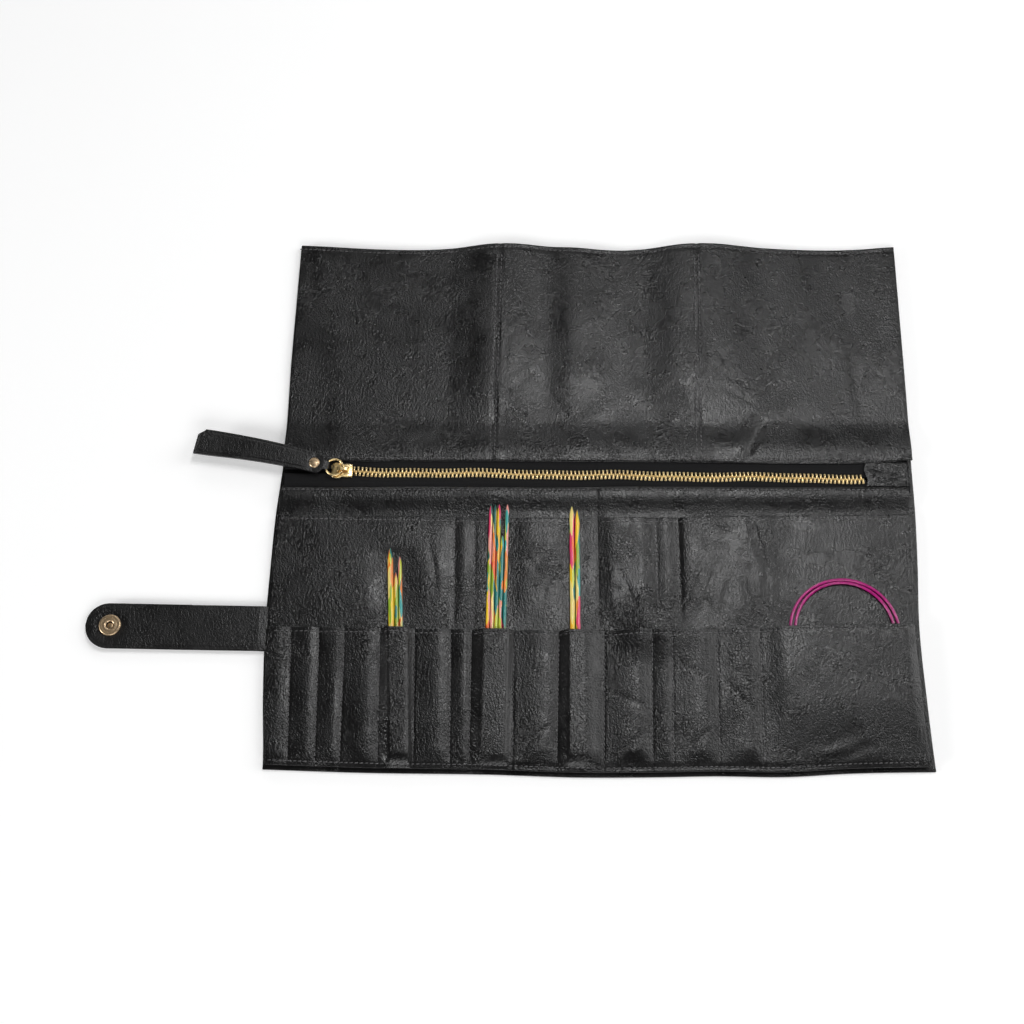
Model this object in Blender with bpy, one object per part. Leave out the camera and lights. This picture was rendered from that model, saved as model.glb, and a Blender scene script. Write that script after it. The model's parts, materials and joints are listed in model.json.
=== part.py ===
"""Leather needle case with its needles, laid open with the inside up.

Three panels fold over each other, a flap folds down over the pockets and a strap snaps round the closed case.
Metres, +Z up. X runs along the zip, Y from the pockets' hem towards the flap, and the case lies on z = 0.
The origin is on the underside of the middle panel.
"""

import math
from collections.abc import Callable, Sequence

import bmesh
import bpy
from mathutils import Matrix, Vector

Height = Callable[[float, float], float]
Profile = Sequence[tuple[float, float]]
Corner = tuple[float, float, float]

# ---- overall sizes, y measured from the hem ------------------------------------------------------------
CASE_WIDTH = 0.360
CASE_LENGTH = 0.320
HEM_Y = -0.100            # world y of the hem, which puts the origin under the middle of the panels
FLAP_FOLD = 0.200         # distances from the hem
FLAP_SEAM = 0.1783
BAND_TOP = 0.1630
UPPER_MOUTH = 0.1460
LOWER_MOUTH = 0.0785
LEFT_PART = 0.1030         # widths of the parts that fold over the middle
RIGHT_PART = 0.1320
LEFT_EDGE = -CASE_WIDTH / 2
RIGHT_EDGE = CASE_WIDTH / 2
LEFT_FOLD_X = LEFT_EDGE + LEFT_PART
RIGHT_FOLD_X = RIGHT_EDGE - RIGHT_PART

# ---- thicknesses and clearances ------------------------------------------------------------------------
GAP = 0.0003
OUTER_THICK = 0.0012
SHEET_THICK = 0.0009
FOLD_GAP = 0.0006         # between two panels, at a fold
SIDE_BORDER = 0.0030      # outer leather showing beside the pockets
HEM_BORDER = 0.0040       # and below them
HEM_WIDTH = 0.0030
STEP = 0.0001             # run of a steep face in a sheet

# ---- zip -----------------------------------------------------------------------------------------------
ZIP_FROM_HEM = 0.1704     # chain's centre line at x = 0
ZIP_SLOPE = -0.0155       # the chain drops this much per metre to the right
CHAIN_LEFT_MARGIN = 0.0285  # from the chain's ends to the case's sides
CHAIN_RIGHT_MARGIN = 0.0275
CHAIN_WIDTH = 0.0059
CHAIN_THICK = 0.0023
TOOTH_PITCH = 0.0023
TOOTH_DEPTH = 0.0009
TAPE_THICK = 0.0005
TAPE_TUCK = 0.0035        # tape sewn under the leather on each side
RAMP_LENGTH = 0.007       # over which a sheet climbs onto the tape
TAPE_MARGIN = 0.002       # from the tape's ends to the case's edges
SLIDER_ON_CHAIN = 0.0052  # from the chain's left end to the slider's middle
SLIDER_LENGTH = 0.0123
SLIDER_SHOULDER = 0.0007  # by which each side of its front is wider than its rear
SLIDER_FLANGE = 0.0006    # wall beside the chain
SLIDER_NOSE = 0.0068      # length of the wide front
SLIDER_PLATE = 0.0008
SLIDER_BACK_THICK = 0.0006
BRIDGE_SPAN = 0.0066
BRIDGE_WIDTH = 0.0024
BRIDGE_BAR = 0.0007
BRIDGE_LEG = 0.0008
BRIDGE_OFFSET = 0.0008    # from the slider's middle to the ring's hinge, along the chain
RING_OFFSET = 0.0004      # and across it
PATCH_MARGIN = 0.0029     # from the end patch to the case's side

# ---- pull ----------------------------------------------------------------------------------------------
RING_RADIUS = 0.0049      # centre line of the wire
RING_WIRE = 0.0012
RING_LIFT = 0.0005        # wire above the slider's plate
PULL_SKEW = math.radians(11.5)
TAB_LENGTH = 0.0765
TAB_NEAR_WIDTH = 0.0118
TAB_FAR_WIDTH = 0.0155
TAB_THICK = 0.0022
TAB_NECK = 0.0028
TAB_SHOULDER = 0.0022     # run over which it widens behind the neck
TAB_CORNER = 0.001
TAB_SLANT_RISE = 0.003
EYE_WIDTH = 0.0044
EYE_WALL = 0.00063
EYE_CLEARANCE = 0.00027
TAB_SLANT = 0.0035        # by which the far end's upper corner leans back
RIVET_FROM_RING = 0.0068
RIVET_HEAD_RADIUS = 0.0031
RIVET_SHANK_RADIUS = 0.0012
RIVET_HEAD = 0.0009
RIVET_BACK_THICK = 0.0005
RIVET_CROWN = 0.7         # radius of a dome's crown, as a share of its own radius
RIVET_EDGE = 0.4          # and the height of its edge, as a share of its height
RIVET_BROW = 0.85         # and of the crown
SMALL_GAP = 0.0002

# ---- strap and snap ------------------------------------------------------------------------------------
STRAP_FROM_HEM = 0.0810
STRAP_WIDTH = 0.026
STRAP_TAIL = 0.0437       # from the second corner to the tip
STRAP_THICK = 0.0020
STRAP_UNDERSIDE = 0.0015
STRAP_BEND = 0.0015       # inside radius where the strap turns a corner
SNAP_FROM_TIP = 0.0139
SNAP_RADIUS = 0.0061
SNAP_CAP_THICK = 0.0010
SNAP_SHANK_RADIUS = 0.0016
SOCKET_HEIGHT = 0.0014
SOCKET_HOLE_RADIUS = 0.0023
SOCKET_LIP = 0.0006       # by which the hole widens at its mouth
STUD_NOSE_RADIUS = 0.0019
STUD_FLANGE_RADIUS = 0.0055
STUD_FLANGE_THICK = 0.0006
STUD_NOSE_LENGTH = 0.0015
POST_RADIUS = 0.0012
POST_HEAD_RADIUS = 0.0040
POST_HEAD_THICK = 0.0005
TIP_STEPS = 12
HUMP_ROOM = 0.0011        # flat margin of the hump round the snap
HUMP_SLOPE = 0.0053
SPINE_ROOM = 0.0008       # between the strap and the spine that it passes
HUMP_LINES = 6

# ---- needles and cable ---------------------------------------------------------------------------------
NEEDLE_BASE = 0.0080      # lower ends, from the hem
LARGEST_NEEDLE = 0.0030
NEEDLE_RISE = 0.0105      # the needles climb this much per metre, to pass over the zip
FERRULE_LENGTH = 0.0125
THREAD_LENGTH = 0.0045
CABLE_DIAMETER = 0.0022
COIL_MARGIN = 0.0456      # from the coil's centre to the case's right side
COIL_FROM_HEM = 0.0772
COIL_OUTER_RADIUS = 0.0310
CONNECTOR_LENGTH = 0.0130
CONNECTOR_DIAMETER = 0.0026
CONNECTOR_NOSE = 0.001
POINT_TAPER = 5.5         # length of a needle's point, in radii
POINT_KNEE = 0.62         # radius half way down the point, as a share of the needle's
THREAD_SHARE = 0.62       # and of a tip's thread
FERRULE_SHARE = 0.97      # and of its ferrule
ROD_SIDES = 10

# Tip needles: name, x at the lower pocket's mouth, diameter, length, lean. Double-pointed ones likewise.
TIPS = (
    ("tip_thick", LEFT_FOLD_X - 0.0383, LARGEST_NEEDLE, 0.1175, -2.4),
    ("tip_short", LEFT_FOLD_X - 0.03545, 0.0022, 0.1033, -2.4),
    ("tip_thin", LEFT_FOLD_X - 0.0330, 0.0020, 0.1126, -2.4),
)
THIN_PITCH = 0.0023
THIN_FIRST_X = LEFT_FOLD_X + 0.0145
THIN_LENGTHS = (0.1440, 0.1437, 0.1437, 0.1250, 0.1437)
DOUBLE_POINTED = tuple(
    (f"thin_needle_{i + 1}", THIN_FIRST_X + i * THIN_PITCH, 0.0020, length, 1.4)
    for i, length in enumerate(THIN_LENGTHS)
) + (
    ("thick_needle_1", LEFT_FOLD_X + 0.0614, 0.0027, 0.1424, 0.3),
    ("thick_needle_2", LEFT_FOLD_X + 0.0645, 0.0027, 0.1403, 0.3),
)

# ---- levels, from the layers above ---------------------------------------------------------------------
PANEL_LEVEL = OUTER_THICK + GAP
PANEL_TOP = PANEL_LEVEL + SHEET_THICK
UPPER_LEVEL = PANEL_TOP + GAP
UPPER_TOP = UPPER_LEVEL + SHEET_THICK
NEEDLE_LEVEL = UPPER_TOP + GAP
LOWER_LEVEL = NEEDLE_LEVEL + LARGEST_NEEDLE + GAP
FLAP_THICK = PANEL_TOP
SLIDER_BACK_LEVEL = OUTER_THICK + GAP
CHAIN_LEVEL = SLIDER_BACK_LEVEL + SLIDER_BACK_THICK + GAP
CHAIN_TOP = CHAIN_LEVEL + CHAIN_THICK
TAPE_LEVEL = CHAIN_LEVEL + (CHAIN_THICK - TAPE_THICK) / 2
TAPE_TOP = TAPE_LEVEL + TAPE_THICK
RAISED_LEVEL = TAPE_TOP + GAP
RAISED_TOP = RAISED_LEVEL + SHEET_THICK
PLATE_LEVEL = max(CHAIN_TOP, RAISED_TOP) + GAP
PLATE_TOP = PLATE_LEVEL + SLIDER_PLATE
RING_Z = PLATE_TOP + RING_LIFT + RING_WIRE / 2
TAB_LEVEL = RING_Z - TAB_THICK / 2
RIVET_TOP = TAB_LEVEL + TAB_THICK + SMALL_GAP + RIVET_HEAD
STRAP_TOP = STRAP_UNDERSIDE + STRAP_THICK

# ---- fold axes: each is half way between what it brings together ---------------------------------------
NEEDLE_TOP = NEEDLE_LEVEL + LARGEST_NEEDLE + NEEDLE_RISE * (UPPER_MOUTH - NEEDLE_BASE)
FLAP_AXIS_Z = (NEEDLE_TOP + GAP + FLAP_THICK) / 2
LEFT_FLAP_AXIS_Z = (RIVET_TOP + GAP + FLAP_THICK) / 2
STACK = 2 * FLAP_AXIS_Z
LEFT_STACK = 2 * LEFT_FLAP_AXIS_Z
RIGHT_AXIS_Z = STACK + GAP / 2
LEFT_AXIS_Z = (2 * RIGHT_AXIS_Z + GAP + LEFT_STACK) / 2

# ---- zip and cable: placed from the case's sides ---------------------------------------------------------
CHAIN_START_X = LEFT_EDGE + CHAIN_LEFT_MARGIN
CHAIN_END_X = RIGHT_EDGE - CHAIN_RIGHT_MARGIN
SLIDER_START_X = CHAIN_START_X + SLIDER_ON_CHAIN
SLIDER_REAR_WIDTH = CHAIN_WIDTH + 2 * (GAP + SLIDER_FLANGE + SMALL_GAP)
SLIDER_WIDTH = SLIDER_REAR_WIDTH + 2 * SLIDER_SHOULDER
COIL_X = RIGHT_EDGE - COIL_MARGIN

# ---- strap: the drop between its corners is the closed case's height, and the stud meets the socket -----
STRAP_AXIS_Z = STRAP_TOP + STRAP_BEND
STRAP_DROP = 2 * LEFT_AXIS_Z - STRAP_TOP + GAP - 2 * STRAP_BEND
CLOSED_CORNER_X = RIGHT_FOLD_X + RIGHT_AXIS_Z + SPINE_ROOM - STRAP_BEND
STRAP_CORNER_1_X = 2 * LEFT_FOLD_X - CLOSED_CORNER_X
STRAP_CORNER_2_X = STRAP_CORNER_1_X - STRAP_DROP
STRAP_TIP_X = STRAP_CORNER_2_X - STRAP_TAIL
SNAP_X = STRAP_TIP_X + SNAP_FROM_TIP
STUD_X = CLOSED_CORNER_X - (STRAP_CORNER_2_X - SNAP_X)
HUMP_FLAT = SNAP_RADIUS + HUMP_ROOM
HUMP_HEIGHT = GAP + SOCKET_HEIGHT + STUD_FLANGE_THICK + GAP
POST_ROOM = POST_HEAD_THICK + GAP
STRAP_Y = HEM_Y + STRAP_FROM_HEM

# ---- pull: the ring hangs in the bridge, the tab on the ring -------------------------------------------
RING_HINGE_X = SLIDER_START_X + BRIDGE_OFFSET
PULL_DIRECTION = Vector((-math.cos(PULL_SKEW), math.sin(PULL_SKEW), 0.0))


def zip_y(x: float) -> float:
    """World y of the chain's centre line at x."""
    return HEM_Y + ZIP_FROM_HEM + ZIP_SLOPE * x


RING_HINGE = Vector((RING_HINGE_X, zip_y(SLIDER_START_X) + RING_OFFSET, RING_Z))
RING_CENTRE = RING_HINGE + PULL_DIRECTION * RING_RADIUS
TAB_HINGE = RING_HINGE + PULL_DIRECTION * 2 * RING_RADIUS

FINISHES = {
    "black_leather": ((0.012, 0.012, 0.013), 0.48, 0.0),
    "strap_leather": ((0.015, 0.014, 0.013), 0.45, 0.0),
    "zip_tape": ((0.010, 0.010, 0.011), 0.85, 0.0),
    "gold_brass": ((0.83, 0.62, 0.26), 0.28, 1.0),
    "antique_brass": ((0.42, 0.31, 0.20), 0.38, 1.0),
    "coloured_birch": ((0.55, 0.36, 0.10), 0.35, 0.0),
    "steel": ((0.72, 0.72, 0.70), 0.25, 1.0),
    "magenta_cable": ((0.62, 0.02, 0.22), 0.35, 0.0),
}


def material(finish: str) -> bpy.types.Material:
    """The named finish as a Principled material, made once."""
    found = bpy.data.materials.get(finish)
    if found:
        return found
    colour, roughness, metallic = FINISHES[finish]
    made = bpy.data.materials.new(finish)
    made.use_nodes = True
    shader = made.node_tree.nodes["Principled BSDF"]
    shader.inputs["Base Color"].default_value = (*colour, 1.0)
    shader.inputs["Roughness"].default_value = roughness
    shader.inputs["Metallic"].default_value = metallic
    return made


def add(name: str, bm: bmesh.types.BMesh, finish: str) -> bpy.types.Object:
    """Turns a bmesh into a named object with its faces outward."""
    bmesh.ops.recalc_face_normals(bm, faces=bm.faces)
    mesh = bpy.data.meshes.new(name)
    bm.to_mesh(mesh)
    bm.free()
    mesh.materials.append(material(finish))
    made = bpy.data.objects.new(name, mesh)
    bpy.context.scene.collection.objects.link(made)
    return made


def sheet(
    name: str, xs: Sequence[float], ys: Sequence[float], bottom: Height, top: Height, finish: str = "black_leather"
) -> bpy.types.Object:
    """A closed sheet on a grid of lines, between two heights that are functions of x and y."""
    bm = bmesh.new()
    under = [[bm.verts.new((x, y, bottom(x, y))) for x in xs] for y in ys]
    over = [[bm.verts.new((x, y, top(x, y))) for x in xs] for y in ys]
    for j in range(len(ys) - 1):
        for i in range(len(xs) - 1):
            bm.faces.new((over[j][i], over[j][i + 1], over[j + 1][i + 1], over[j + 1][i]))
            bm.faces.new((under[j][i], under[j + 1][i], under[j + 1][i + 1], under[j][i + 1]))
    for i in range(len(xs) - 1):
        for j in (0, len(ys) - 1):
            bm.faces.new((under[j][i], under[j][i + 1], over[j][i + 1], over[j][i]))
    for j in range(len(ys) - 1):
        for i in (0, len(xs) - 1):
            bm.faces.new((under[j][i], under[j + 1][i], over[j + 1][i], over[j][i]))
    return add(name, bm, finish)


def prism(name: str, outline: Profile, low: float, high: float, finish: str) -> bpy.types.Object:
    """An outline of (x, y) points between two heights."""
    bm = bmesh.new()
    face = bm.faces.new([bm.verts.new((x, y, low)) for x, y in outline])
    grown = bmesh.ops.extrude_face_region(bm, geom=[face])
    lifted = [item for item in grown["geom"] if isinstance(item, bmesh.types.BMVert)]
    bmesh.ops.translate(bm, verts=lifted, vec=(0, 0, high - low))
    return add(name, bm, finish)


def block(name: str, low_corner: Corner, high_corner: Corner, finish: str) -> bpy.types.Object:
    """A box between two corners."""
    (x0, y0, z0), (x1, y1, z1) = low_corner, high_corner
    return prism(name, ((x0, y0), (x1, y0), (x1, y1), (x0, y1)), z0, z1, finish)


def turned(name: str, profile: Profile, finish: str, segments: int = 20) -> bpy.types.Object:
    """A profile of (radius, height) points, from one end of the axis to the other or round a loop, turned about Z."""
    bm = bmesh.new()
    rings = []
    for radius, height in profile:
        if radius == 0:
            rings.append([bm.verts.new((0, 0, height))])
            continue
        angles = (2 * math.pi * k / segments for k in range(segments))
        rings.append([bm.verts.new((radius * math.cos(a), radius * math.sin(a), height)) for a in angles])
    loop = profile[0][0] > 0
    pairs = list(zip(rings, rings[1:])) + ([(rings[-1], rings[0])] if loop else [])
    for first, second in pairs:
        for k in range(segments):
            n = (k + 1) % segments
            near = [first[k % len(first)], first[n % len(first)]]
            far = [second[n % len(second)], second[k % len(second)]]
            bm.faces.new(list(dict.fromkeys(near + far)))
    made = add(name, bm, finish)
    made.data.shade_smooth()
    made.data.set_sharp_from_angle(angle=math.radians(35))
    return made


def shape_with(base: bpy.types.Object, others: Sequence[bpy.types.Object], operation: str) -> None:
    """Cuts or joins other solids into base and removes them."""
    for other in others:
        modifier = base.modifiers.new(operation.lower(), "BOOLEAN")
        modifier.operation = operation
        modifier.object = other
    bpy.context.view_layer.update()
    graph = bpy.context.evaluated_depsgraph_get()
    base.data = bpy.data.meshes.new_from_object(base.evaluated_get(graph))
    base.modifiers.clear()
    for other in others:
        bpy.data.objects.remove(other)


def hump(x: float, y: float) -> float:
    """0 to 1: how far the leather is lifted where it lies over the snap's stud."""
    away = math.hypot(x - STUD_X, y - STRAP_Y) - HUMP_FLAT
    share = min(1.0, max(0.0, 1.0 - away / HUMP_SLOPE))
    return share * share * (3 - 2 * share)


def raised(level: float, height: float) -> Height:
    """A sheet's height that follows the hump."""
    return lambda x, y: level + height * hump(x, y)


def flat(level: float) -> Height:
    """A sheet's height that is the same all over."""
    return lambda x, y: level


def lines_over_hump(start: float, centre: float, end: float) -> list[float]:
    """Grid lines from start to end, close together over the hump."""
    reach = HUMP_FLAT + HUMP_SLOPE
    inside = [centre + reach * k / HUMP_LINES for k in range(-HUMP_LINES, HUMP_LINES + 1)]
    return [start] + [line for line in inside if start + STEP < line < end - STEP] + [end]


def climb(start: float, end: float, low: float, high: float) -> Height:
    """Heights along y that go from low at start to high at end."""
    def height(_x: float, y: float) -> float:
        share = min(1.0, max(0.0, (y - start) / (end - start)))
        return low + (high - low) * share
    return height


COLUMNS = {
    "left": (LEFT_EDGE, LEFT_FOLD_X - FOLD_GAP / 2),
    "mid": (LEFT_FOLD_X + FOLD_GAP / 2, RIGHT_FOLD_X - FOLD_GAP / 2),
    "right": (RIGHT_FOLD_X + FOLD_GAP / 2, RIGHT_EDGE),
}


def inset(column: str) -> tuple[float, float]:
    """A column's x limits, less the border at the case's own edges."""
    start, end = COLUMNS[column]
    return (
        start + (SIDE_BORDER if column == "left" else 0),
        end - (SIDE_BORDER if column == "right" else 0),
    )


def build_outer(column: str) -> None:
    """The case's outer leather in one column, lifted over the stud and pierced for its post."""
    start, end = COLUMNS[column]
    low, high = HEM_Y, HEM_Y + FLAP_FOLD - FOLD_GAP / 2
    if column != "mid":
        sheet(f"outer_{column}", (start, end), (low, high), flat(0), flat(OUTER_THICK))
        return
    xs = lines_over_hump(start, STUD_X, end)
    ys = lines_over_hump(low, STRAP_Y, high)
    made = sheet(f"outer_{column}", xs, ys, raised(0, HUMP_HEIGHT), raised(OUTER_THICK, HUMP_HEIGHT))
    reach = POST_RADIUS + GAP
    hole = turned("post_hole", ((0, 0), (reach, 0), (reach, STACK), (0, STACK)), "steel")
    hole.location = (STUD_X, STRAP_Y, -GAP)
    shape_with(made, [hole], "DIFFERENCE")


def build_back_panel(column: str) -> None:
    """The sheet that the pockets are sewn on. Its top edge climbs onto the zip's lower tape."""
    start, end = inset(column)
    low, high = HEM_Y + HEM_BORDER, HEM_Y + BAND_TOP
    ramp_end = high - TAPE_TUCK - GAP * 2
    ramp_start = ramp_end - RAMP_LENGTH
    under = climb(ramp_start, ramp_end, PANEL_LEVEL, RAISED_LEVEL)
    over = climb(ramp_start, ramp_end, PANEL_TOP, RAISED_TOP)
    xs, ys = (start, end), [low, ramp_start, ramp_end, high]
    if column == "mid":
        xs = lines_over_hump(start, STUD_X, end)
        ys = lines_over_hump(low, STRAP_Y, ramp_start) + [ramp_end, high]
    lift = HUMP_HEIGHT + POST_ROOM
    sheet(
        f"back_panel_{column}", xs, ys,
        lambda x, y: under(x, y) + lift * hump(x, y),
        lambda x, y: over(x, y) + lift * hump(x, y),
    )


def build_upper_pocket(column: str) -> None:
    """The tall pockets' front sheet."""
    start, end = inset(column)
    low, high = HEM_Y + HEM_BORDER, HEM_Y + UPPER_MOUTH
    xs, ys = (start, end), (low, high)
    if column == "mid":
        xs, ys = lines_over_hump(start, STUD_X, end), lines_over_hump(low, STRAP_Y, high)
    lift = HUMP_HEIGHT + POST_ROOM
    sheet(f"upper_pocket_{column}", xs, ys, raised(UPPER_LEVEL, lift), raised(UPPER_TOP, lift))


def build_lower_pocket(column: str) -> None:
    """The short pockets' front sheet. It clears the needles and comes down at its hem and at the case's sides."""
    start, end = inset(column)
    low, high = HEM_Y + HEM_BORDER, HEM_Y + LOWER_MOUTH
    hem = low + HEM_WIDTH
    xs, ys = [start, end], [low, hem, hem + STEP, high]
    if column == "left":
        xs = [start, start + HEM_WIDTH, start + HEM_WIDTH + STEP, end]
    if column == "right":
        xs = [start, end - HEM_WIDTH - STEP, end - HEM_WIDTH, end]
    if column == "mid":
        xs = lines_over_hump(start, STUD_X, end)
        ys = ys[:2] + lines_over_hump(hem + STEP, STRAP_Y, high)
    lift = HUMP_HEIGHT + POST_ROOM

    def sewn_down(x: float, y: float) -> bool:
        at_side = (column == "left" and x < start + HEM_WIDTH + STEP / 2) or (
            column == "right" and x > end - HEM_WIDTH - STEP / 2
        )
        return at_side or y < hem + STEP / 2

    def top(x: float, y: float) -> float:
        climbed = NEEDLE_RISE * max(0.0, y - HEM_Y - NEEDLE_BASE)
        return LOWER_LEVEL + SHEET_THICK + climbed + lift * hump(x, y)

    def bottom(x: float, y: float) -> float:
        return NEEDLE_LEVEL if sewn_down(x, y) else top(x, y) - SHEET_THICK

    sheet(f"lower_pocket_{column}", xs, ys, bottom, top)


def build_zip(column: str) -> None:
    """Two tapes and the closed chain between them, in one column."""
    start, end = COLUMNS[column]
    start += TAPE_MARGIN if column == "left" else 0
    end -= TAPE_MARGIN if column == "right" else 0
    inner = CHAIN_WIDTH / 2 + GAP
    low, high = HEM_Y + BAND_TOP - TAPE_TUCK, HEM_Y + FLAP_SEAM + TAPE_TUCK
    lower = ((start, low), (end, low), (end, zip_y(end) - inner), (start, zip_y(start) - inner))
    upper = ((start, zip_y(start) + inner), (end, zip_y(end) + inner), (end, high), (start, high))
    prism(f"zip_tape_lower_{column}", lower, TAPE_LEVEL, TAPE_TOP, "zip_tape")
    prism(f"zip_tape_upper_{column}", upper, TAPE_LEVEL, TAPE_TOP, "zip_tape")

    chain_start, chain_end = max(start, CHAIN_START_X), min(end, CHAIN_END_X)
    teeth = round((chain_end - chain_start) / TOOTH_PITCH)
    pitch = (chain_end - chain_start) / teeth
    near, far = [], []
    for k in range(2 * teeth + 1):
        x = chain_start + k * pitch / 2
        out = CHAIN_WIDTH / 2 - (TOOTH_DEPTH if k % 2 else 0)
        back = CHAIN_WIDTH / 2 - (0 if k % 2 else TOOTH_DEPTH)
        near.append((x, zip_y(x) - out))
        far.append((x, zip_y(x) + back))
    prism(f"zip_chain_{column}", near + far[::-1], CHAIN_LEVEL, CHAIN_TOP, "gold_brass")


def build_zip_end() -> None:
    """The leather patch over the zip's closed end."""
    start, end = CHAIN_END_X + 2 * GAP, RIGHT_EDGE - PATCH_MARGIN
    low, high = HEM_Y + BAND_TOP + GAP, HEM_Y + FLAP_SEAM - GAP
    block("zip_end_patch", (start, low, RAISED_LEVEL), (end, high, RAISED_TOP), "black_leather")


def build_flap_strip(column: str) -> None:
    """The strip between the zip's upper tape and the flap's fold. It steps down from the tape to the panel."""
    start, end = COLUMNS[column]
    low, high = HEM_Y + FLAP_SEAM, HEM_Y + FLAP_FOLD - FOLD_GAP / 2
    ramp_start = low + TAPE_TUCK + GAP * 2
    ramp_end = ramp_start + RAMP_LENGTH
    sheet(
        f"flap_strip_{column}", (start, end), (low, ramp_start, ramp_end, high),
        climb(ramp_start, ramp_end, RAISED_LEVEL, PANEL_LEVEL),
        climb(ramp_start, ramp_end, RAISED_TOP, PANEL_TOP),
    )


def build_flap(column: str) -> None:
    """The flap's two leathers in one column."""
    start, end = COLUMNS[column]
    low, high = HEM_Y + FLAP_FOLD + FOLD_GAP / 2, HEM_Y + CASE_LENGTH
    sheet(f"flap_outer_{column}", (start, end), (low, high), flat(0), flat(OUTER_THICK))
    sheet(f"flap_inner_{column}", (start, end), (low, high), flat(PANEL_LEVEL), flat(PANEL_TOP))


def build_slider() -> None:
    """The slider's face with its flanges and bridge, and its back plate under the chain."""
    left = SLIDER_START_X - SLIDER_LENGTH / 2
    right = left + SLIDER_LENGTH
    nose = left + SLIDER_NOSE
    y = zip_y(SLIDER_START_X)
    front, rear, tip = SLIDER_WIDTH / 2, SLIDER_REAR_WIDTH / 2, SLIDER_WIDTH / 4
    shoulder = SLIDER_NOSE / 4
    near = (
        (left, y - tip), (left + shoulder, y - front), (nose - shoulder, y - front), (nose, y - rear),
        (right, y - rear),
    )
    outline = near + tuple((x, 2 * y - across) for x, across in reversed(near))
    face = prism("zip_slider", outline, PLATE_LEVEL, PLATE_TOP, "gold_brass")
    inner = CHAIN_WIDTH / 2 + GAP
    overlap = SLIDER_PLATE / 2
    parts = []
    for side in (-1, 1):
        low, high = sorted((y + side * inner, y + side * (rear - SMALL_GAP)))
        flange_top = PLATE_LEVEL + overlap
        parts.append(block("flange", (nose, low, TAPE_TOP + GAP), (right - SMALL_GAP, high, flange_top), "gold_brass"))
    bridge_low = RING_Z + RING_WIRE / 2 + RING_LIFT
    half = BRIDGE_WIDTH / 2
    first, last = RING_HINGE_X - BRIDGE_SPAN / 2, RING_HINGE_X + BRIDGE_SPAN / 2
    top = bridge_low + BRIDGE_BAR
    for start in (first, last - BRIDGE_LEG):
        foot = (start, y - half, PLATE_TOP - overlap)
        parts.append(block("leg", foot, (start + BRIDGE_LEG, y + half, top), "gold_brass"))
    parts.append(block("bar", (first, y - half, bridge_low), (last, y + half, top), "gold_brass"))
    shape_with(face, parts, "UNION")
    prism("zip_slider_back", outline, SLIDER_BACK_LEVEL, SLIDER_BACK_LEVEL + SLIDER_BACK_THICK, "gold_brass")


def build_ring() -> None:
    """The wire ring, lying flat in the bridge."""
    bm = bmesh.new()
    around, across = 28, 8
    loops = []
    for k in range(around):
        a = 2 * math.pi * k / around
        outward = Vector((math.cos(a), math.sin(a), 0))
        loops.append([])
        for m in range(across):
            b = 2 * math.pi * m / across
            lift = Vector((0, 0, RING_WIRE / 2 * math.sin(b)))
            loops[-1].append(bm.verts.new(outward * (RING_RADIUS + RING_WIRE / 2 * math.cos(b)) + lift))
    for k in range(around):
        for m in range(across):
            n = (m + 1) % across
            second = loops[(k + 1) % around]
            bm.faces.new((loops[k][m], loops[k][n], second[n], second[m]))
    made = add("pull_ring", bm, "gold_brass")
    made.data.transform(Matrix.Translation(RING_CENTRE - RING_HINGE))
    made.data.shade_smooth()
    made.location = RING_HINGE


def build_tab() -> None:
    """The leather tab, folded round the ring and riveted."""
    near, far = TAB_NEAR_WIDTH / 2, TAB_FAR_WIDTH / 2
    eye_half = EYE_WIDTH / 2
    sagitta = RING_RADIUS - math.sqrt(RING_RADIUS ** 2 - eye_half ** 2)
    slot_half = RING_WIRE / 2 + EYE_CLEARANCE
    slot_start = -sagitta - slot_half
    eye_start = slot_start - EYE_WALL
    eye_end = slot_half + EYE_WALL
    shoulder = TAB_NECK + TAB_SHOULDER
    slanted = TAB_LENGTH - TAB_SLANT
    outline = (
        (eye_end - SMALL_GAP, -eye_half), (TAB_NECK, -eye_half), (shoulder, -near),
        (TAB_LENGTH - TAB_CORNER, -far), (TAB_LENGTH, TAB_CORNER - far),
        (slanted, far - TAB_SLANT_RISE), (slanted - TAB_SLANT_RISE, far),
        (shoulder, near), (TAB_NECK, eye_half), (eye_end - SMALL_GAP, eye_half),
    )
    tab = prism("pull_tab", outline, -TAB_THICK / 2, TAB_THICK / 2, "strap_leather")
    eye_z = slot_half + EYE_WALL
    eye = block("eye", (eye_start, -eye_half, -eye_z), (eye_end, eye_half, eye_z), "strap_leather")
    shape_with(tab, [eye], "UNION")
    slot = block("slot", (slot_start, -near, -slot_half), (slot_half, near, slot_half), "strap_leather")
    reach = RIVET_SHANK_RADIUS + SMALL_GAP
    through = ((0, -TAB_THICK), (reach, -TAB_THICK), (reach, TAB_THICK), (0, TAB_THICK))
    hole = turned("rivet_hole", through, "steel", 12)
    hole.location = (RIVET_FROM_RING, 0, 0)
    shape_with(tab, [slot, hole], "DIFFERENCE")
    turn = Matrix.Rotation(math.pi - PULL_SKEW, 4, "Z")
    mirror = Matrix.Diagonal((1, -1, 1, 1))
    tab.data.transform(turn @ mirror)
    tab.data.flip_normals()
    tab.location = TAB_HINGE
    build_rivet(TAB_HINGE + PULL_DIRECTION * RIVET_FROM_RING)


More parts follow.
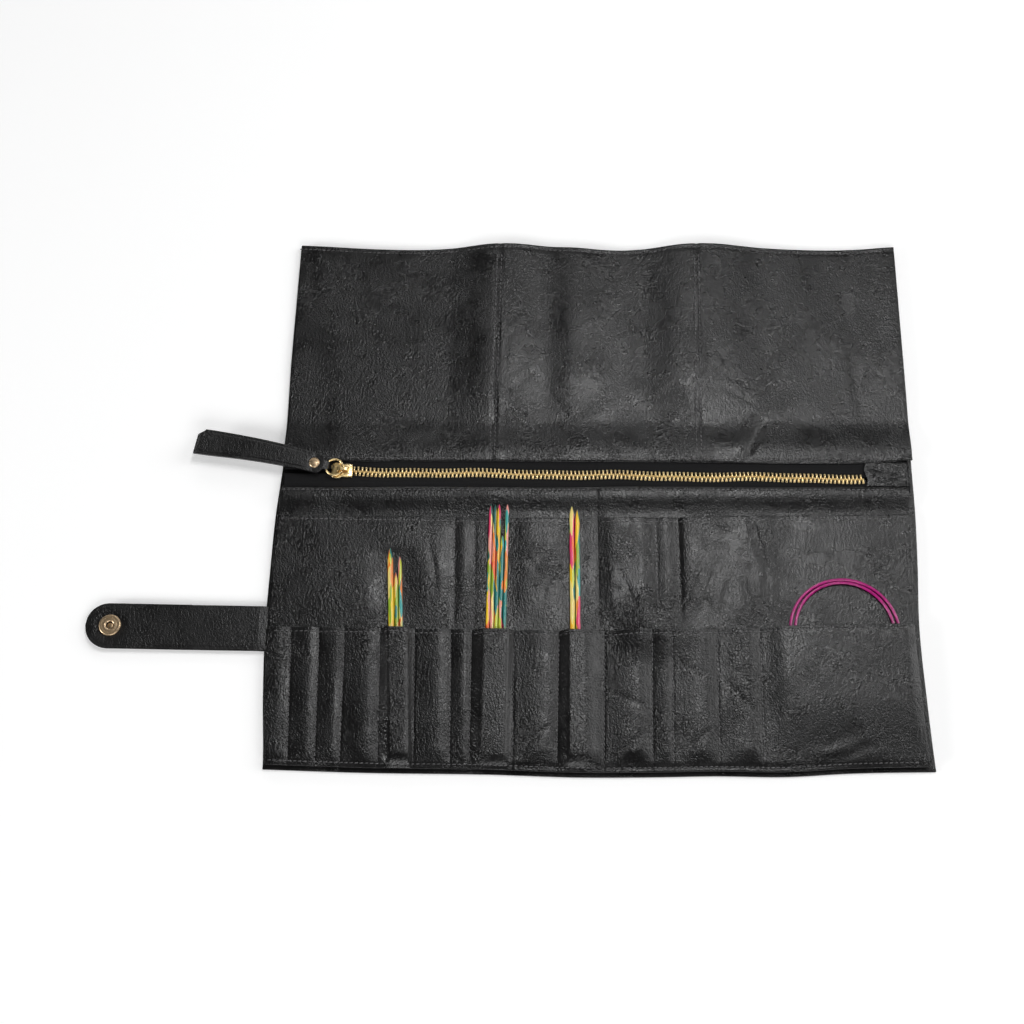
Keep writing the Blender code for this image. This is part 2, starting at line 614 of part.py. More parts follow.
def build_rivet(centre: Vector) -> None:
    """The rivet's domed cap with its shank, and the plate that it is closed on."""
    half = TAB_THICK / 2
    head_low, foot = half + SMALL_GAP, -half - SMALL_GAP
    cap = turned(
        "rivet_cap",
        (
            (0, foot), (RIVET_SHANK_RADIUS, foot), (RIVET_SHANK_RADIUS, head_low), (RIVET_HEAD_RADIUS, head_low),
            (RIVET_HEAD_RADIUS, head_low + RIVET_HEAD * RIVET_EDGE),
            (RIVET_HEAD_RADIUS * RIVET_CROWN, head_low + RIVET_HEAD * RIVET_BROW), (0, head_low + RIVET_HEAD),
        ),
        "antique_brass",
    )
    back_top = foot - SMALL_GAP
    back_low = back_top - RIVET_BACK_THICK
    back = turned(
        "rivet_back",
        ((0, back_low), (RIVET_HEAD_RADIUS, back_low), (RIVET_HEAD_RADIUS, back_top), (0, back_top)),
        "antique_brass",
    )
    cap.location = back.location = centre


def build_strap() -> None:
    """The strap in three lengths, which turn at two corners, and the snap's two halves on it."""
    low, high = STRAP_Y - STRAP_WIDTH / 2, STRAP_Y + STRAP_WIDTH / 2
    half = FOLD_GAP / 2
    spans = {
        "strap_root": (STRAP_CORNER_1_X + half, LEFT_EDGE - GAP),
        "strap_side": (STRAP_CORNER_2_X + half, STRAP_CORNER_1_X - half),
    }
    for name, (start, end) in spans.items():
        block(name, (start, low, STRAP_UNDERSIDE), (end, high, STRAP_TOP), "strap_leather")
    radius = STRAP_WIDTH / 2
    start = STRAP_TIP_X + radius
    angles = [math.pi * k / TIP_STEPS for k in range(TIP_STEPS + 1)]
    tip = [(start - radius * math.sin(a), STRAP_Y + radius * math.cos(a)) for a in angles]
    end = STRAP_CORNER_2_X - half
    strap_end = prism("strap_end", tip + [(end, low), (end, high)], STRAP_UNDERSIDE, STRAP_TOP, "strap_leather")
    reach = SNAP_SHANK_RADIUS + GAP
    hole = turned("snap_hole", ((0, 0), (reach, 0), (reach, STACK), (0, STACK)), "steel", 12)
    hole.location = (SNAP_X, STRAP_Y, 0)
    shape_with(strap_end, [hole], "DIFFERENCE")

    cap_top = STRAP_UNDERSIDE - GAP
    cap = turned(
        "snap_cap",
        (
            (0, cap_top - SNAP_CAP_THICK), (SNAP_RADIUS * RIVET_CROWN, cap_top - SNAP_CAP_THICK * RIVET_BROW),
            (SNAP_RADIUS, cap_top - SNAP_CAP_THICK * RIVET_EDGE), (SNAP_RADIUS, cap_top),
            (SNAP_SHANK_RADIUS, cap_top), (SNAP_SHANK_RADIUS, STRAP_TOP), (0, STRAP_TOP),
        ),
        "antique_brass",
    )
    base = STRAP_TOP + GAP
    socket = turned(
        "snap_socket",
        (
            (SOCKET_HOLE_RADIUS, base), (SNAP_RADIUS, base), (SNAP_RADIUS, base + SOCKET_HEIGHT * 0.6),
            (SNAP_RADIUS * 0.85, base + SOCKET_HEIGHT), (SOCKET_HOLE_RADIUS + SOCKET_LIP, base + SOCKET_HEIGHT),
            (SOCKET_HOLE_RADIUS, base + SOCKET_HEIGHT * 0.8),
        ),
        "antique_brass",
    )
    cap.location = socket.location = (SNAP_X, STRAP_Y, 0)


def build_stud() -> None:
    """The snap's stud under the middle panel, and the post that closes it from inside."""
    top = HUMP_HEIGHT - GAP
    flange = top - STUD_FLANGE_THICK
    stud = turned(
        "snap_stud",
        (
            (0, flange - STUD_NOSE_LENGTH), (STUD_NOSE_RADIUS * 0.8, flange - STUD_NOSE_LENGTH),
            (STUD_NOSE_RADIUS, flange - STUD_NOSE_LENGTH * 0.7), (STUD_NOSE_RADIUS * 0.85, flange),
            (STUD_FLANGE_RADIUS, flange), (STUD_FLANGE_RADIUS, top), (0, top),
        ),
        "antique_brass",
    )
    low = top + GAP / 2
    head = HUMP_HEIGHT + OUTER_THICK + GAP / 2
    head_top = head + POST_HEAD_THICK
    shank = ((0, low), (POST_RADIUS, low), (POST_RADIUS, head))
    post = turned("snap_post", shank + ((POST_HEAD_RADIUS, head), (POST_HEAD_RADIUS, head_top), (0, head_top)), "steel")
    stud.location = post.location = (STUD_X, STRAP_Y, 0)


def lay_needle(made: bpy.types.Object, mouth_x: float, diameter: float, lean: float) -> None:
    """Turns a rod that was made along Z to lie in its pocket, with its base on the hem's side."""
    tilt = math.radians(lean)
    rise = math.atan(NEEDLE_RISE)
    lying = Matrix.Rotation(-tilt, 4, "Z") @ Matrix.Rotation(rise, 4, "X") @ Matrix.Rotation(-math.pi / 2, 4, "X")
    x = mouth_x - math.tan(tilt) * (LOWER_MOUTH - NEEDLE_BASE)
    made.matrix_world = Matrix.Translation((x, HEM_Y + NEEDLE_BASE, NEEDLE_LEVEL + diameter / 2)) @ lying


def point(length: float, radius: float, direction: int = 1) -> list[tuple[float, float]]:
    """(radius, height) points of a needle's tapered point that ends at length."""
    taper = direction * POINT_TAPER * radius
    return [(radius, length - taper), (radius * POINT_KNEE, length - taper / 2), (0, length)]


def build_needles() -> None:
    """Three screw-on tips, each with its metal ferrule and thread, and the double-pointed needles."""
    for name, mouth_x, diameter, length, lean in TIPS:
        radius = diameter / 2
        base = FERRULE_LENGTH + GAP
        rod = turned(name, [(0, base), (radius, base)] + point(length, radius), "coloured_birch", ROD_SIDES)
        lay_needle(rod, mouth_x, diameter, lean)
        thread, sleeve = radius * THREAD_SHARE, radius * FERRULE_SHARE
        screw = ((0, 0), (thread, 0), (thread, THREAD_LENGTH))
        barrel = ((sleeve, THREAD_LENGTH), (sleeve, FERRULE_LENGTH), (0, FERRULE_LENGTH))
        ferrule = turned(f"{name}_ferrule", screw + barrel, "steel", ROD_SIDES)
        lay_needle(ferrule, mouth_x, diameter, lean)
    for name, mouth_x, diameter, length, lean in DOUBLE_POINTED:
        radius = diameter / 2
        lower = point(0, radius, -1)[::-1]
        rod = turned(name, lower + point(length, radius), "coloured_birch", ROD_SIDES)
        lay_needle(rod, mouth_x, diameter, lean)


def build_cable() -> None:
    """The coiled cable as one turned ring, with a screw connector at each end of it."""
    y = HEM_Y + COIL_FROM_HEM
    inner = COIL_OUTER_RADIUS - 2 * CABLE_DIAMETER
    coil = turned(
        "cable_coil",
        ((inner, 0), (COIL_OUTER_RADIUS, 0), (COIL_OUTER_RADIUS, CABLE_DIAMETER), (inner, CABLE_DIAMETER)),
        "magenta_cable", 36,
    )
    coil.location = (COIL_X, y, NEEDLE_LEVEL)
    radius = CONNECTOR_DIAMETER / 2
    beside = {
        "cable_connector_inner": inner - radius - GAP - CONNECTOR_LENGTH ** 2 / (8 * inner),
        "cable_connector_outer": COIL_OUTER_RADIUS + GAP + radius,
    }
    for name, distance in beside.items():
        made = turned(
            name,
            (
                (0, 0), (radius * 0.75, 0), (radius, radius / 2), (radius, CONNECTOR_LENGTH - CONNECTOR_NOSE),
                (radius * 0.6, CONNECTOR_LENGTH), (0, CONNECTOR_LENGTH),
            ),
            "steel", 12,
        )
        made.rotation_euler = (0, math.pi / 2, 0)
        made.location = (COIL_X - CONNECTOR_LENGTH / 2, y - distance, NEEDLE_LEVEL + radius)


def main() -> None:
    """Clears the scene and builds the case from its leather to its contents."""
    for existing in list(bpy.data.objects):
        bpy.data.objects.remove(existing)
    for column in COLUMNS:
        build_outer(column)
        build_back_panel(column)
        build_upper_pocket(column)
        build_lower_pocket(column)
        build_zip(column)
        build_flap_strip(column)
        build_flap(column)
    build_zip_end()
    build_slider()
    build_ring()
    build_tab()
    build_strap()
    build_stud()
    build_needles()
    build_cable()


main()
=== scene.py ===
"""Looks of a leather needle case that lies open with its needles and its coiled cable.

The leather is shaped in case coordinates: millimetres, with x along the zip, y up from the pockets' hem
and z up from the table. The frame's own places and sizes are read from its nodes.
"""

import json
import logging
import math
from collections.abc import Callable, Sequence
from dataclasses import dataclass, field
from enum import Enum

import bpy
import numpy as np
from mathutils import Matrix, Vector


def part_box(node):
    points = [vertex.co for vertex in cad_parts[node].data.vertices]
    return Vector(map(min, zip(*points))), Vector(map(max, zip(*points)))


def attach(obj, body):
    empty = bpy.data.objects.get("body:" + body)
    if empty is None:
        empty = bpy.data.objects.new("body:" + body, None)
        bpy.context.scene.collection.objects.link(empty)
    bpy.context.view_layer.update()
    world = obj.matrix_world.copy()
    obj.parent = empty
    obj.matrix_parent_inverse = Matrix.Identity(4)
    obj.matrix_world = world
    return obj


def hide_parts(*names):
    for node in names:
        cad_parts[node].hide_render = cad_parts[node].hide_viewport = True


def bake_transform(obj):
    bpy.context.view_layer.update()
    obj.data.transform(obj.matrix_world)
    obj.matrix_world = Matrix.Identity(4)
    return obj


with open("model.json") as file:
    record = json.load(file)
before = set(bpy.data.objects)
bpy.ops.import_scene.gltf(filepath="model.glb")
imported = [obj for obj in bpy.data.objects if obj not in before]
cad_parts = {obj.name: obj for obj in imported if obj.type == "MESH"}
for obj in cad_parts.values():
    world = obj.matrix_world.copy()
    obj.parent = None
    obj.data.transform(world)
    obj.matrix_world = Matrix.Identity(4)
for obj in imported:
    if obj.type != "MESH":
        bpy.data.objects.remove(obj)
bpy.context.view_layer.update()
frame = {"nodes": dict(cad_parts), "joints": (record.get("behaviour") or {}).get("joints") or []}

MM = 0.001
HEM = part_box("outer_left")[0].y
Array = np.ndarray
Socket = bpy.types.NodeSocket
Knots = tuple[tuple[float, float], ...]
Outline = Sequence[tuple[float, float]]
Edge = Callable[[Array], Array]
Height = Callable[[Array, Array], Array]
Place = Callable[[Array, Array], tuple[Array, Array, Array]]
log = logging.getLogger("needle case")


def joint(name: str) -> dict:
    """A joint of the frame."""
    return next(found for found in frame["joints"] if found["name"] == name)


def middle_of(node: str) -> Vector:
    """The middle of a node's box."""
    low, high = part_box(node)
    return (low + high) / 2


class Slot(Enum):
    """The record's material slots."""

    CASE = "black_leather"
    STRAP = "strap_leather"
    TAPE = "zip_tape"
    ZIP = "gold_brass"
    SNAP = "antique_brass"
    NEEDLE = "coloured_birch"
    STEEL = "steel"
    CABLE = "magenta_cable"


class Side(Enum):
    """Which half of the pockets a piece belongs to."""

    LEFT = "left"
    RIGHT = "right"


# ---- shader work ---------------------------------------------------------------------------------------


class Dye:
    """One material's node tree, with short ways to add and link nodes."""

    made: dict[str, bpy.types.Material] = {}

    def __init__(self, name: str) -> None:
        """Starts an empty Principled material.

        Args:
            name: the material's name.
        """
        self.material = bpy.data.materials.new(name)
        self.material.use_nodes = True
        self.tree = self.material.node_tree
        self.shader = self.tree.nodes["Principled BSDF"]
        Dye.made[name] = self.material

    def node(self, kind: str, inputs: dict | None = None, **settings: object) -> bpy.types.Node:
        """Adds a node.

        Args:
            kind: the node's type without its ShaderNode prefix.
            inputs: values or output sockets by input name.
            settings: the node's own properties.
        Returns:
            The node.
        """
        added = self.tree.nodes.new(f"ShaderNode{kind}")
        for key, value in settings.items():
            setattr(added, key, value)
        for key, value in (inputs or {}).items():
            if isinstance(value, Socket):
                self.tree.links.new(value, added.inputs[key])
            else:
                added.inputs[key].default_value = value
        return added

    def coat(self, **values: object) -> bpy.types.Material:
        """Sets the shader's inputs and returns the material; underscores in a name stand for spaces."""
        for key, value in values.items():
            socket = self.shader.inputs[key.replace("_", " ")]
            if isinstance(value, Socket):
                self.tree.links.new(value, socket)
            else:
                socket.default_value = (*value, 1.0) if isinstance(value, tuple) else value
        return self.material

    def here(self) -> Socket:
        """The piece's own coordinates."""
        return self.node("TexCoord").outputs["Object"]

    def math(self, operation: str, first: object, second: object) -> Socket:
        """Two numbers or sockets combined."""
        return self.node("Math", {0: first, 1: second}, operation=operation).outputs[0]

    def spread(self, value: Socket, low: float, high: float, to: tuple) -> Socket:
        """A value from low to high, spread over another range."""
        limits = {"Value": value, "From Min": low, "From Max": high, "To Min": to[0], "To Max": to[1]}
        return self.node("MapRange", limits).outputs["Result"]

    def noise(self, where: Socket, scale: float, detail: float, **more: float) -> Socket:
        """A noise's strength at each point."""
        inputs = {"Vector": where, "Scale": scale, "Detail": detail, **more}
        return self.node("TexNoise", inputs).outputs["Fac"]

    def stretch(self, where: Socket, scale: tuple, turn: float = 0.0) -> Socket:
        """Coordinates scaled by a different number along each axis and turned about Z."""
        return self.node("Mapping", {"Vector": where, "Scale": scale, "Rotation": (0, 0, turn)}).outputs[0]

    def shade(self, share: Socket, low: tuple, high: tuple) -> Socket:
        """A colour between two, by a share."""
        ramp = self.node("ValToRGB", {"Fac": share})
        ramp.color_ramp.elements[0].color = (*low, 1)
        ramp.color_ramp.elements[1].color = (*high, 1)
        return ramp.outputs["Color"]

    def bump(self, height: Socket, strength: float, distance: float) -> Socket:
        """The normal of a bumpy surface."""
        inputs = {"Height": height, "Strength": strength, "Distance": distance}
        return self.node("Bump", inputs).outputs["Normal"]


@dataclass(frozen=True)
class Finish:
    """A named surface, whose material is mixed once."""

    name: str

    def mix(self, dye: Dye) -> None:
        """Sets up the material; each finish does this in its own way."""

    def material(self) -> bpy.types.Material:
        """The material, made once."""
        if self.name not in Dye.made:
            self.mix(Dye(self.name))
        return Dye.made[self.name]


@dataclass(frozen=True)
class Leather(Finish):
    """Soft black leather with a pebbled grain, fine creases and a patchy sheen."""

    dark: tuple[float, float, float] = (0.0025, 0.0025, 0.0027)
    light: tuple[float, float, float] = (0.0060, 0.0057, 0.0058)
    shine: tuple[float, float] = (0.24, 0.35)
    crease_size: float = 1.7 * MM
    pebble_size: float = 0.9 * MM
    depth: float = 0.15 * MM

    def mix(self, dye: Dye) -> None:
        """Sets up the material."""
        here = dye.here()
        drift = dye.node("TexNoise", {"Vector": here, "Scale": 150.0, "Detail": 3.0}).outputs["Color"]
        shift = dye.node("VectorMath", {0: drift, 1: (0.5, 0.5, 0.5)}, operation="SUBTRACT").outputs[0]
        push = dye.node("VectorMath", {0: shift, "Scale": self.crease_size * 1.6}, operation="SCALE")
        bent = dye.node("VectorMath", {0: here, 1: push.outputs[0]}, operation="ADD").outputs[0]
        crease = self.cells(dye, bent, self.crease_size, "DISTANCE_TO_EDGE")
        pebble = self.cells(dye, bent, self.pebble_size, "SMOOTH_F1")
        patches = dye.noise(here, 34.0, 5.0, Roughness=0.6)
        where = dye.spread(patches, 0.42, 0.62, (0.0, 0.75))
        lines = dye.math("MULTIPLY", dye.spread(crease, 0.0, 0.16, (0.0, 1.0)), where)
        fine = dye.math("MULTIPLY", dye.spread(pebble, 0.0, 0.8, (1.0, 0.0)), 0.75)
        pores = dye.noise(here, 1500.0, 3.0)
        pulled = dye.stretch(here, (900.0, 380.0, 600.0), 0.5)
        wrinkle = dye.noise(pulled, 1.0, 2.0, Distortion=0.6)
        worn_in = dye.math("MULTIPLY", dye.spread(wrinkle, 0.35, 0.65, (0.0, 1.0)), 0.5)
        height = dye.math("ADD", dye.math("ADD", lines, fine), dye.math("MULTIPLY", pores, 0.5))
        tone = dye.math("ADD", dye.math("MULTIPLY", patches, 0.7), fine)
        worn = dye.noise(here, 75.0, 4.0)
        dye.coat(
            Base_Color=dye.shade(tone, self.dark, self.light),
            Roughness=dye.spread(worn, 0.35, 0.65, (self.shine[1], self.shine[0])),
            Normal=dye.bump(dye.math("ADD", height, worn_in), 0.8, self.depth),
            Specular_IOR_Level=0.5,
        )

    @staticmethod
    def cells(dye: Dye, where: Socket, size: float, feature: str) -> Socket:
        """A pattern of rounded cells of one size."""
        inputs = {"Vector": where, "Scale": 1 / size}
        return dye.node("TexVoronoi", inputs, feature=feature).outputs["Distance"]


@dataclass(frozen=True)
class Woven(Finish):
    """The zip's black tape, woven in fine ribs."""

    colour: tuple[float, float, float] = (0.006, 0.006, 0.0065)
    rib: float = 0.62 * MM

    def mix(self, dye: Dye) -> None:
        """Sets up the material."""
        here = dye.here()
        scale = math.pi / (10 * self.rib)
        across, along = (
            dye.node("TexWave", {"Vector": here, "Scale": rate, "Distortion": 0.4}, bands_direction=axis)
            for rate, axis in ((scale, "X"), (scale * 0.7, "Y"))
        )
        weave = dye.math("MULTIPLY", across.outputs["Fac"], along.outputs["Fac"])
        dye.coat(
            Base_Color=dye.shade(weave, self.colour, tuple(2.2 * part for part in self.colour)),
            Roughness=dye.spread(weave, 0.0, 1.0, (0.9, 0.7)),
            Normal=dye.bump(weave, 0.8, 0.12 * MM),
            Specular_IOR_Level=0.2,
        )


@dataclass(frozen=True)
class Metal(Finish):
    """A plated or worn metal, with fine scratches and cloudy patches."""

    bright: tuple[float, float, float]
    dull: tuple[float, float, float]
    rough: tuple[float, float] = (0.18, 0.34)
    patch: float = 1.6 * MM

    def mix(self, dye: Dye) -> None:
        """Sets up the material."""
        here = dye.here()
        cloud = dye.noise(here, 1 / self.patch, 5.0)
        fine = dye.noise(here, 4200.0, 2.0)
        dye.coat(
            Base_Color=dye.shade(dye.spread(cloud, 0.35, 0.65, (0.0, 1.0)), self.dull, self.bright),
            Metallic=1.0,
            Roughness=dye.spread(cloud, 0.35, 0.65, (self.rough[1], self.rough[0])),
            Normal=dye.bump(fine, 0.35, 0.03 * MM),
        )


@dataclass(frozen=True)
class Laminate(Finish):
    """Dyed birch layers, which a needle's length cuts into long coloured streaks."""

    colours: tuple[tuple[float, float, float], ...] = (
        (0.93, 0.62, 0.02), (0.02, 0.22, 0.20), (0.88, 0.13, 0.02), (0.30, 0.45, 0.03), (0.80, 0.05, 0.16),
        (0.95, 0.50, 0.03), (0.04, 0.38, 0.36), (0.90, 0.72, 0.22), (0.86, 0.24, 0.03), (0.02, 0.12, 0.10),
        (0.90, 0.36, 0.30), (0.55, 0.62, 0.05),
    )
    across: float = 520.0
    along: float = 58.0

    def mix(self, dye: Dye) -> None:
        """Sets up the material."""
        here = dye.here()
        drift = dye.node("TexNoise", {"Vector": here, "Scale": 90.0, "Detail": 1.0})
        push = dye.node("VectorMath", {0: drift.outputs["Color"], "Scale": 2.5 * MM}, operation="SCALE")
        bent = dye.node("VectorMath", {0: here, 1: push.outputs[0]}, operation="ADD").outputs[0]
        stretched = dye.stretch(bent, (self.across, self.along, self.across))
        layers = dye.node("TexVoronoi", {"Vector": stretched, "Scale": 1.0})
        pick = dye.node("SeparateColor", {"Color": layers.outputs["Color"]}).outputs[0]
        ramp = dye.node("ValToRGB", {"Fac": pick})
        ramp.color_ramp.interpolation = "CONSTANT"
        stops = ramp.color_ramp.elements
        while len(stops) < len(self.colours):
            stops.new(0.5)
        for k, colour in enumerate(self.colours):
            stops[k].position = k / len(self.colours)
            stops[k].color = (*colour, 1)
        fibre = dye.noise(dye.stretch(here, (5200.0, 240.0, 5200.0)), 1.0, 3.0)
        shade = dye.node("Mix", {6: ramp.outputs["Color"], 7: (0.02, 0.015, 0.01, 1)}, data_type="RGBA")
        dye.tree.links.new(dye.spread(fibre, 0.4, 0.8, (0.0, 0.3)), shade.inputs[0])
        normal = dye.bump(fibre, 0.25, 0.03 * MM)
        dye.coat(Base_Color=shade.outputs[2], Roughness=0.3, Normal=normal, Coat_Weight=0.35)


@dataclass(frozen=True)
class Gloss(Finish):
    """A plain smooth finish with a faint mottle, for thread and for the cable."""

    colour: tuple[float, float, float]
    deep: tuple[float, float, float]
    rough: float = 0.35
    patch: float = 2.0 * MM
    clear: float = 0.0

    def mix(self, dye: Dye) -> None:
        """Sets up the material."""
        mottle = dye.noise(dye.here(), 1 / self.patch, 3.0)
        dye.coat(
            Base_Color=dye.shade(dye.spread(mottle, 0.35, 0.65, (0.0, 1.0)), self.deep, self.colour),
            Roughness=self.rough,
            Normal=dye.bump(mottle, 0.2, 0.04 * MM),
            Coat_Weight=self.clear,
        )


CASE_LEATHER = Leather("case_leather")
STRAP_LEATHER = Leather(
    "strap_leather_finish", shine=(0.30, 0.42), crease_size=2.0 * MM, pebble_size=0.7 * MM
)
ZIP_TAPE = Woven("woven_tape")
GOLD = Metal("gold_plate", (0.96, 0.76, 0.42), (0.84, 0.62, 0.28), rough=(0.26, 0.42))
ANTIQUE = Metal("worn_brass", (0.74, 0.56, 0.36), (0.42, 0.30, 0.18), rough=(0.34, 0.5), patch=0.9 * MM)
NICKEL = Metal("nickel_plate", (0.80, 0.79, 0.76), (0.62, 0.61, 0.58))
BIRCH = Laminate("dyed_birch")
# The black thread is coloured grey: a painted highlight that stands in for the glints that make its stitches
# show.
THREAD_PAINTED_GLINT = Gloss("thread_painted_glint", (0.115, 0.112, 0.115), (0.035, 0.034, 0.035), rough=0.36)
CABLE_SKIN = Gloss("magenta_skin", (0.46, 0.012, 0.20), (0.30, 0.006, 0.13), rough=0.28, clear=0.4)
FINISH_OF = {
    Slot.CASE: CASE_LEATHER, Slot.STRAP: STRAP_LEATHER, Slot.TAPE: ZIP_TAPE, Slot.ZIP: GOLD,
    Slot.SNAP: ANTIQUE, Slot.NEEDLE: BIRCH, Slot.STEEL: NICKEL, Slot.CABLE: CABLE_SKIN,
}


# ---- how the case lies ---------------------------------------------------------------------------------


def ease(share: Array) -> Array:
    """0 to 1 with soft ends."""
    share = np.clip(share, 0.0, 1.0)
    return share * share * (3 - 2 * share)


def swell(knots: Knots, at: Array) -> Array:
    """A line through crests and hollows, level at each of its knots."""
    xs, ys = (np.array(part, float) for part in zip(*knots))
    k = np.clip(np.searchsorted(xs, at) - 1, 0, len(xs) - 2)
    share = ease((at - xs[k]) / (xs[k + 1] - xs[k]))
    return ys[k] + (ys[k + 1] - ys[k]) * share


def flow(knots: Knots, at: Array) -> Array:
    """A smooth line through knots."""
    xs, ys = (np.array(part, float) for part in zip(*knots))
    slopes = np.gradient(ys, xs)
    at = np.clip(at, xs[0], xs[-1])
    k = np.clip(np.searchsorted(xs, at) - 1, 0, len(xs) - 2)
    run = xs[k + 1] - xs[k]
    t = (at - xs[k]) / run
    start = (1 + 2 * t) * (1 - t) ** 2 * ys[k] + t * (1 - t) ** 2 * run * slopes[k]
    return start + t * t * (3 - 2 * t) * ys[k + 1] + t * t * (t - 1) * run * slopes[k + 1]


def dent(away: Array, width: float) -> Array:
    """1 in the middle of a dent, falling off softly to each side."""
    return np.exp(-((away / width) ** 2))


@dataclass(frozen=True)
class Crease:
    """A fold line in the leather, sunk if its depth is positive and raised if it is negative."""

    start: tuple[float, float]
    end: tuple[float, float]
    depth: float
    width: float

    def sink(self, x: Array, y: Array) -> Array:
        """How far the leather goes down at each point."""
        (x0, y0), (x1, y1) = self.start, self.end
        length = math.hypot(x1 - x0, y1 - y0)
        t = ((x - x0) * (x1 - x0) + (y - y0) * (y1 - y0)) / length ** 2
        away = np.abs((x - x0) * (y1 - y0) - (y - y0) * (x1 - x0)) / length
        fade = ease((t + 0.1) / 0.35) * ease((1.1 - t) / 0.35)
        return self.depth * dent(away, self.width) * fade


def creases(*rows: tuple[float, ...]) -> tuple[Crease, ...]:
    """Creases from rows of start x and y, end x and y, depth and width."""
    return tuple(Crease((x0, y0), (x1, y1), depth, width) for x0, y0, x1, y1, depth, width in rows)


@dataclass(frozen=True)
class Bundle:
    """Needles side by side in one pocket, which the leather has to go over."""

    centre: float
    half: float
    lean: float
    top: float
    tip: float

    def middle(self, y: Array) -> Array:
        """The needles' middle at each y; they lean about the pocket's mouth."""
        return self.centre + math.tan(math.radians(self.lean)) * (y - 78.5)

    def near(self, x: Array, y: Array, soft: float) -> Array:
        """1 over the needles, falling to 0 within a soft margin."""
        middle = self.middle(y)
        return ease((self.half + soft - np.abs(x - middle)) / soft) * ease((self.tip + 4 - y) / 6)


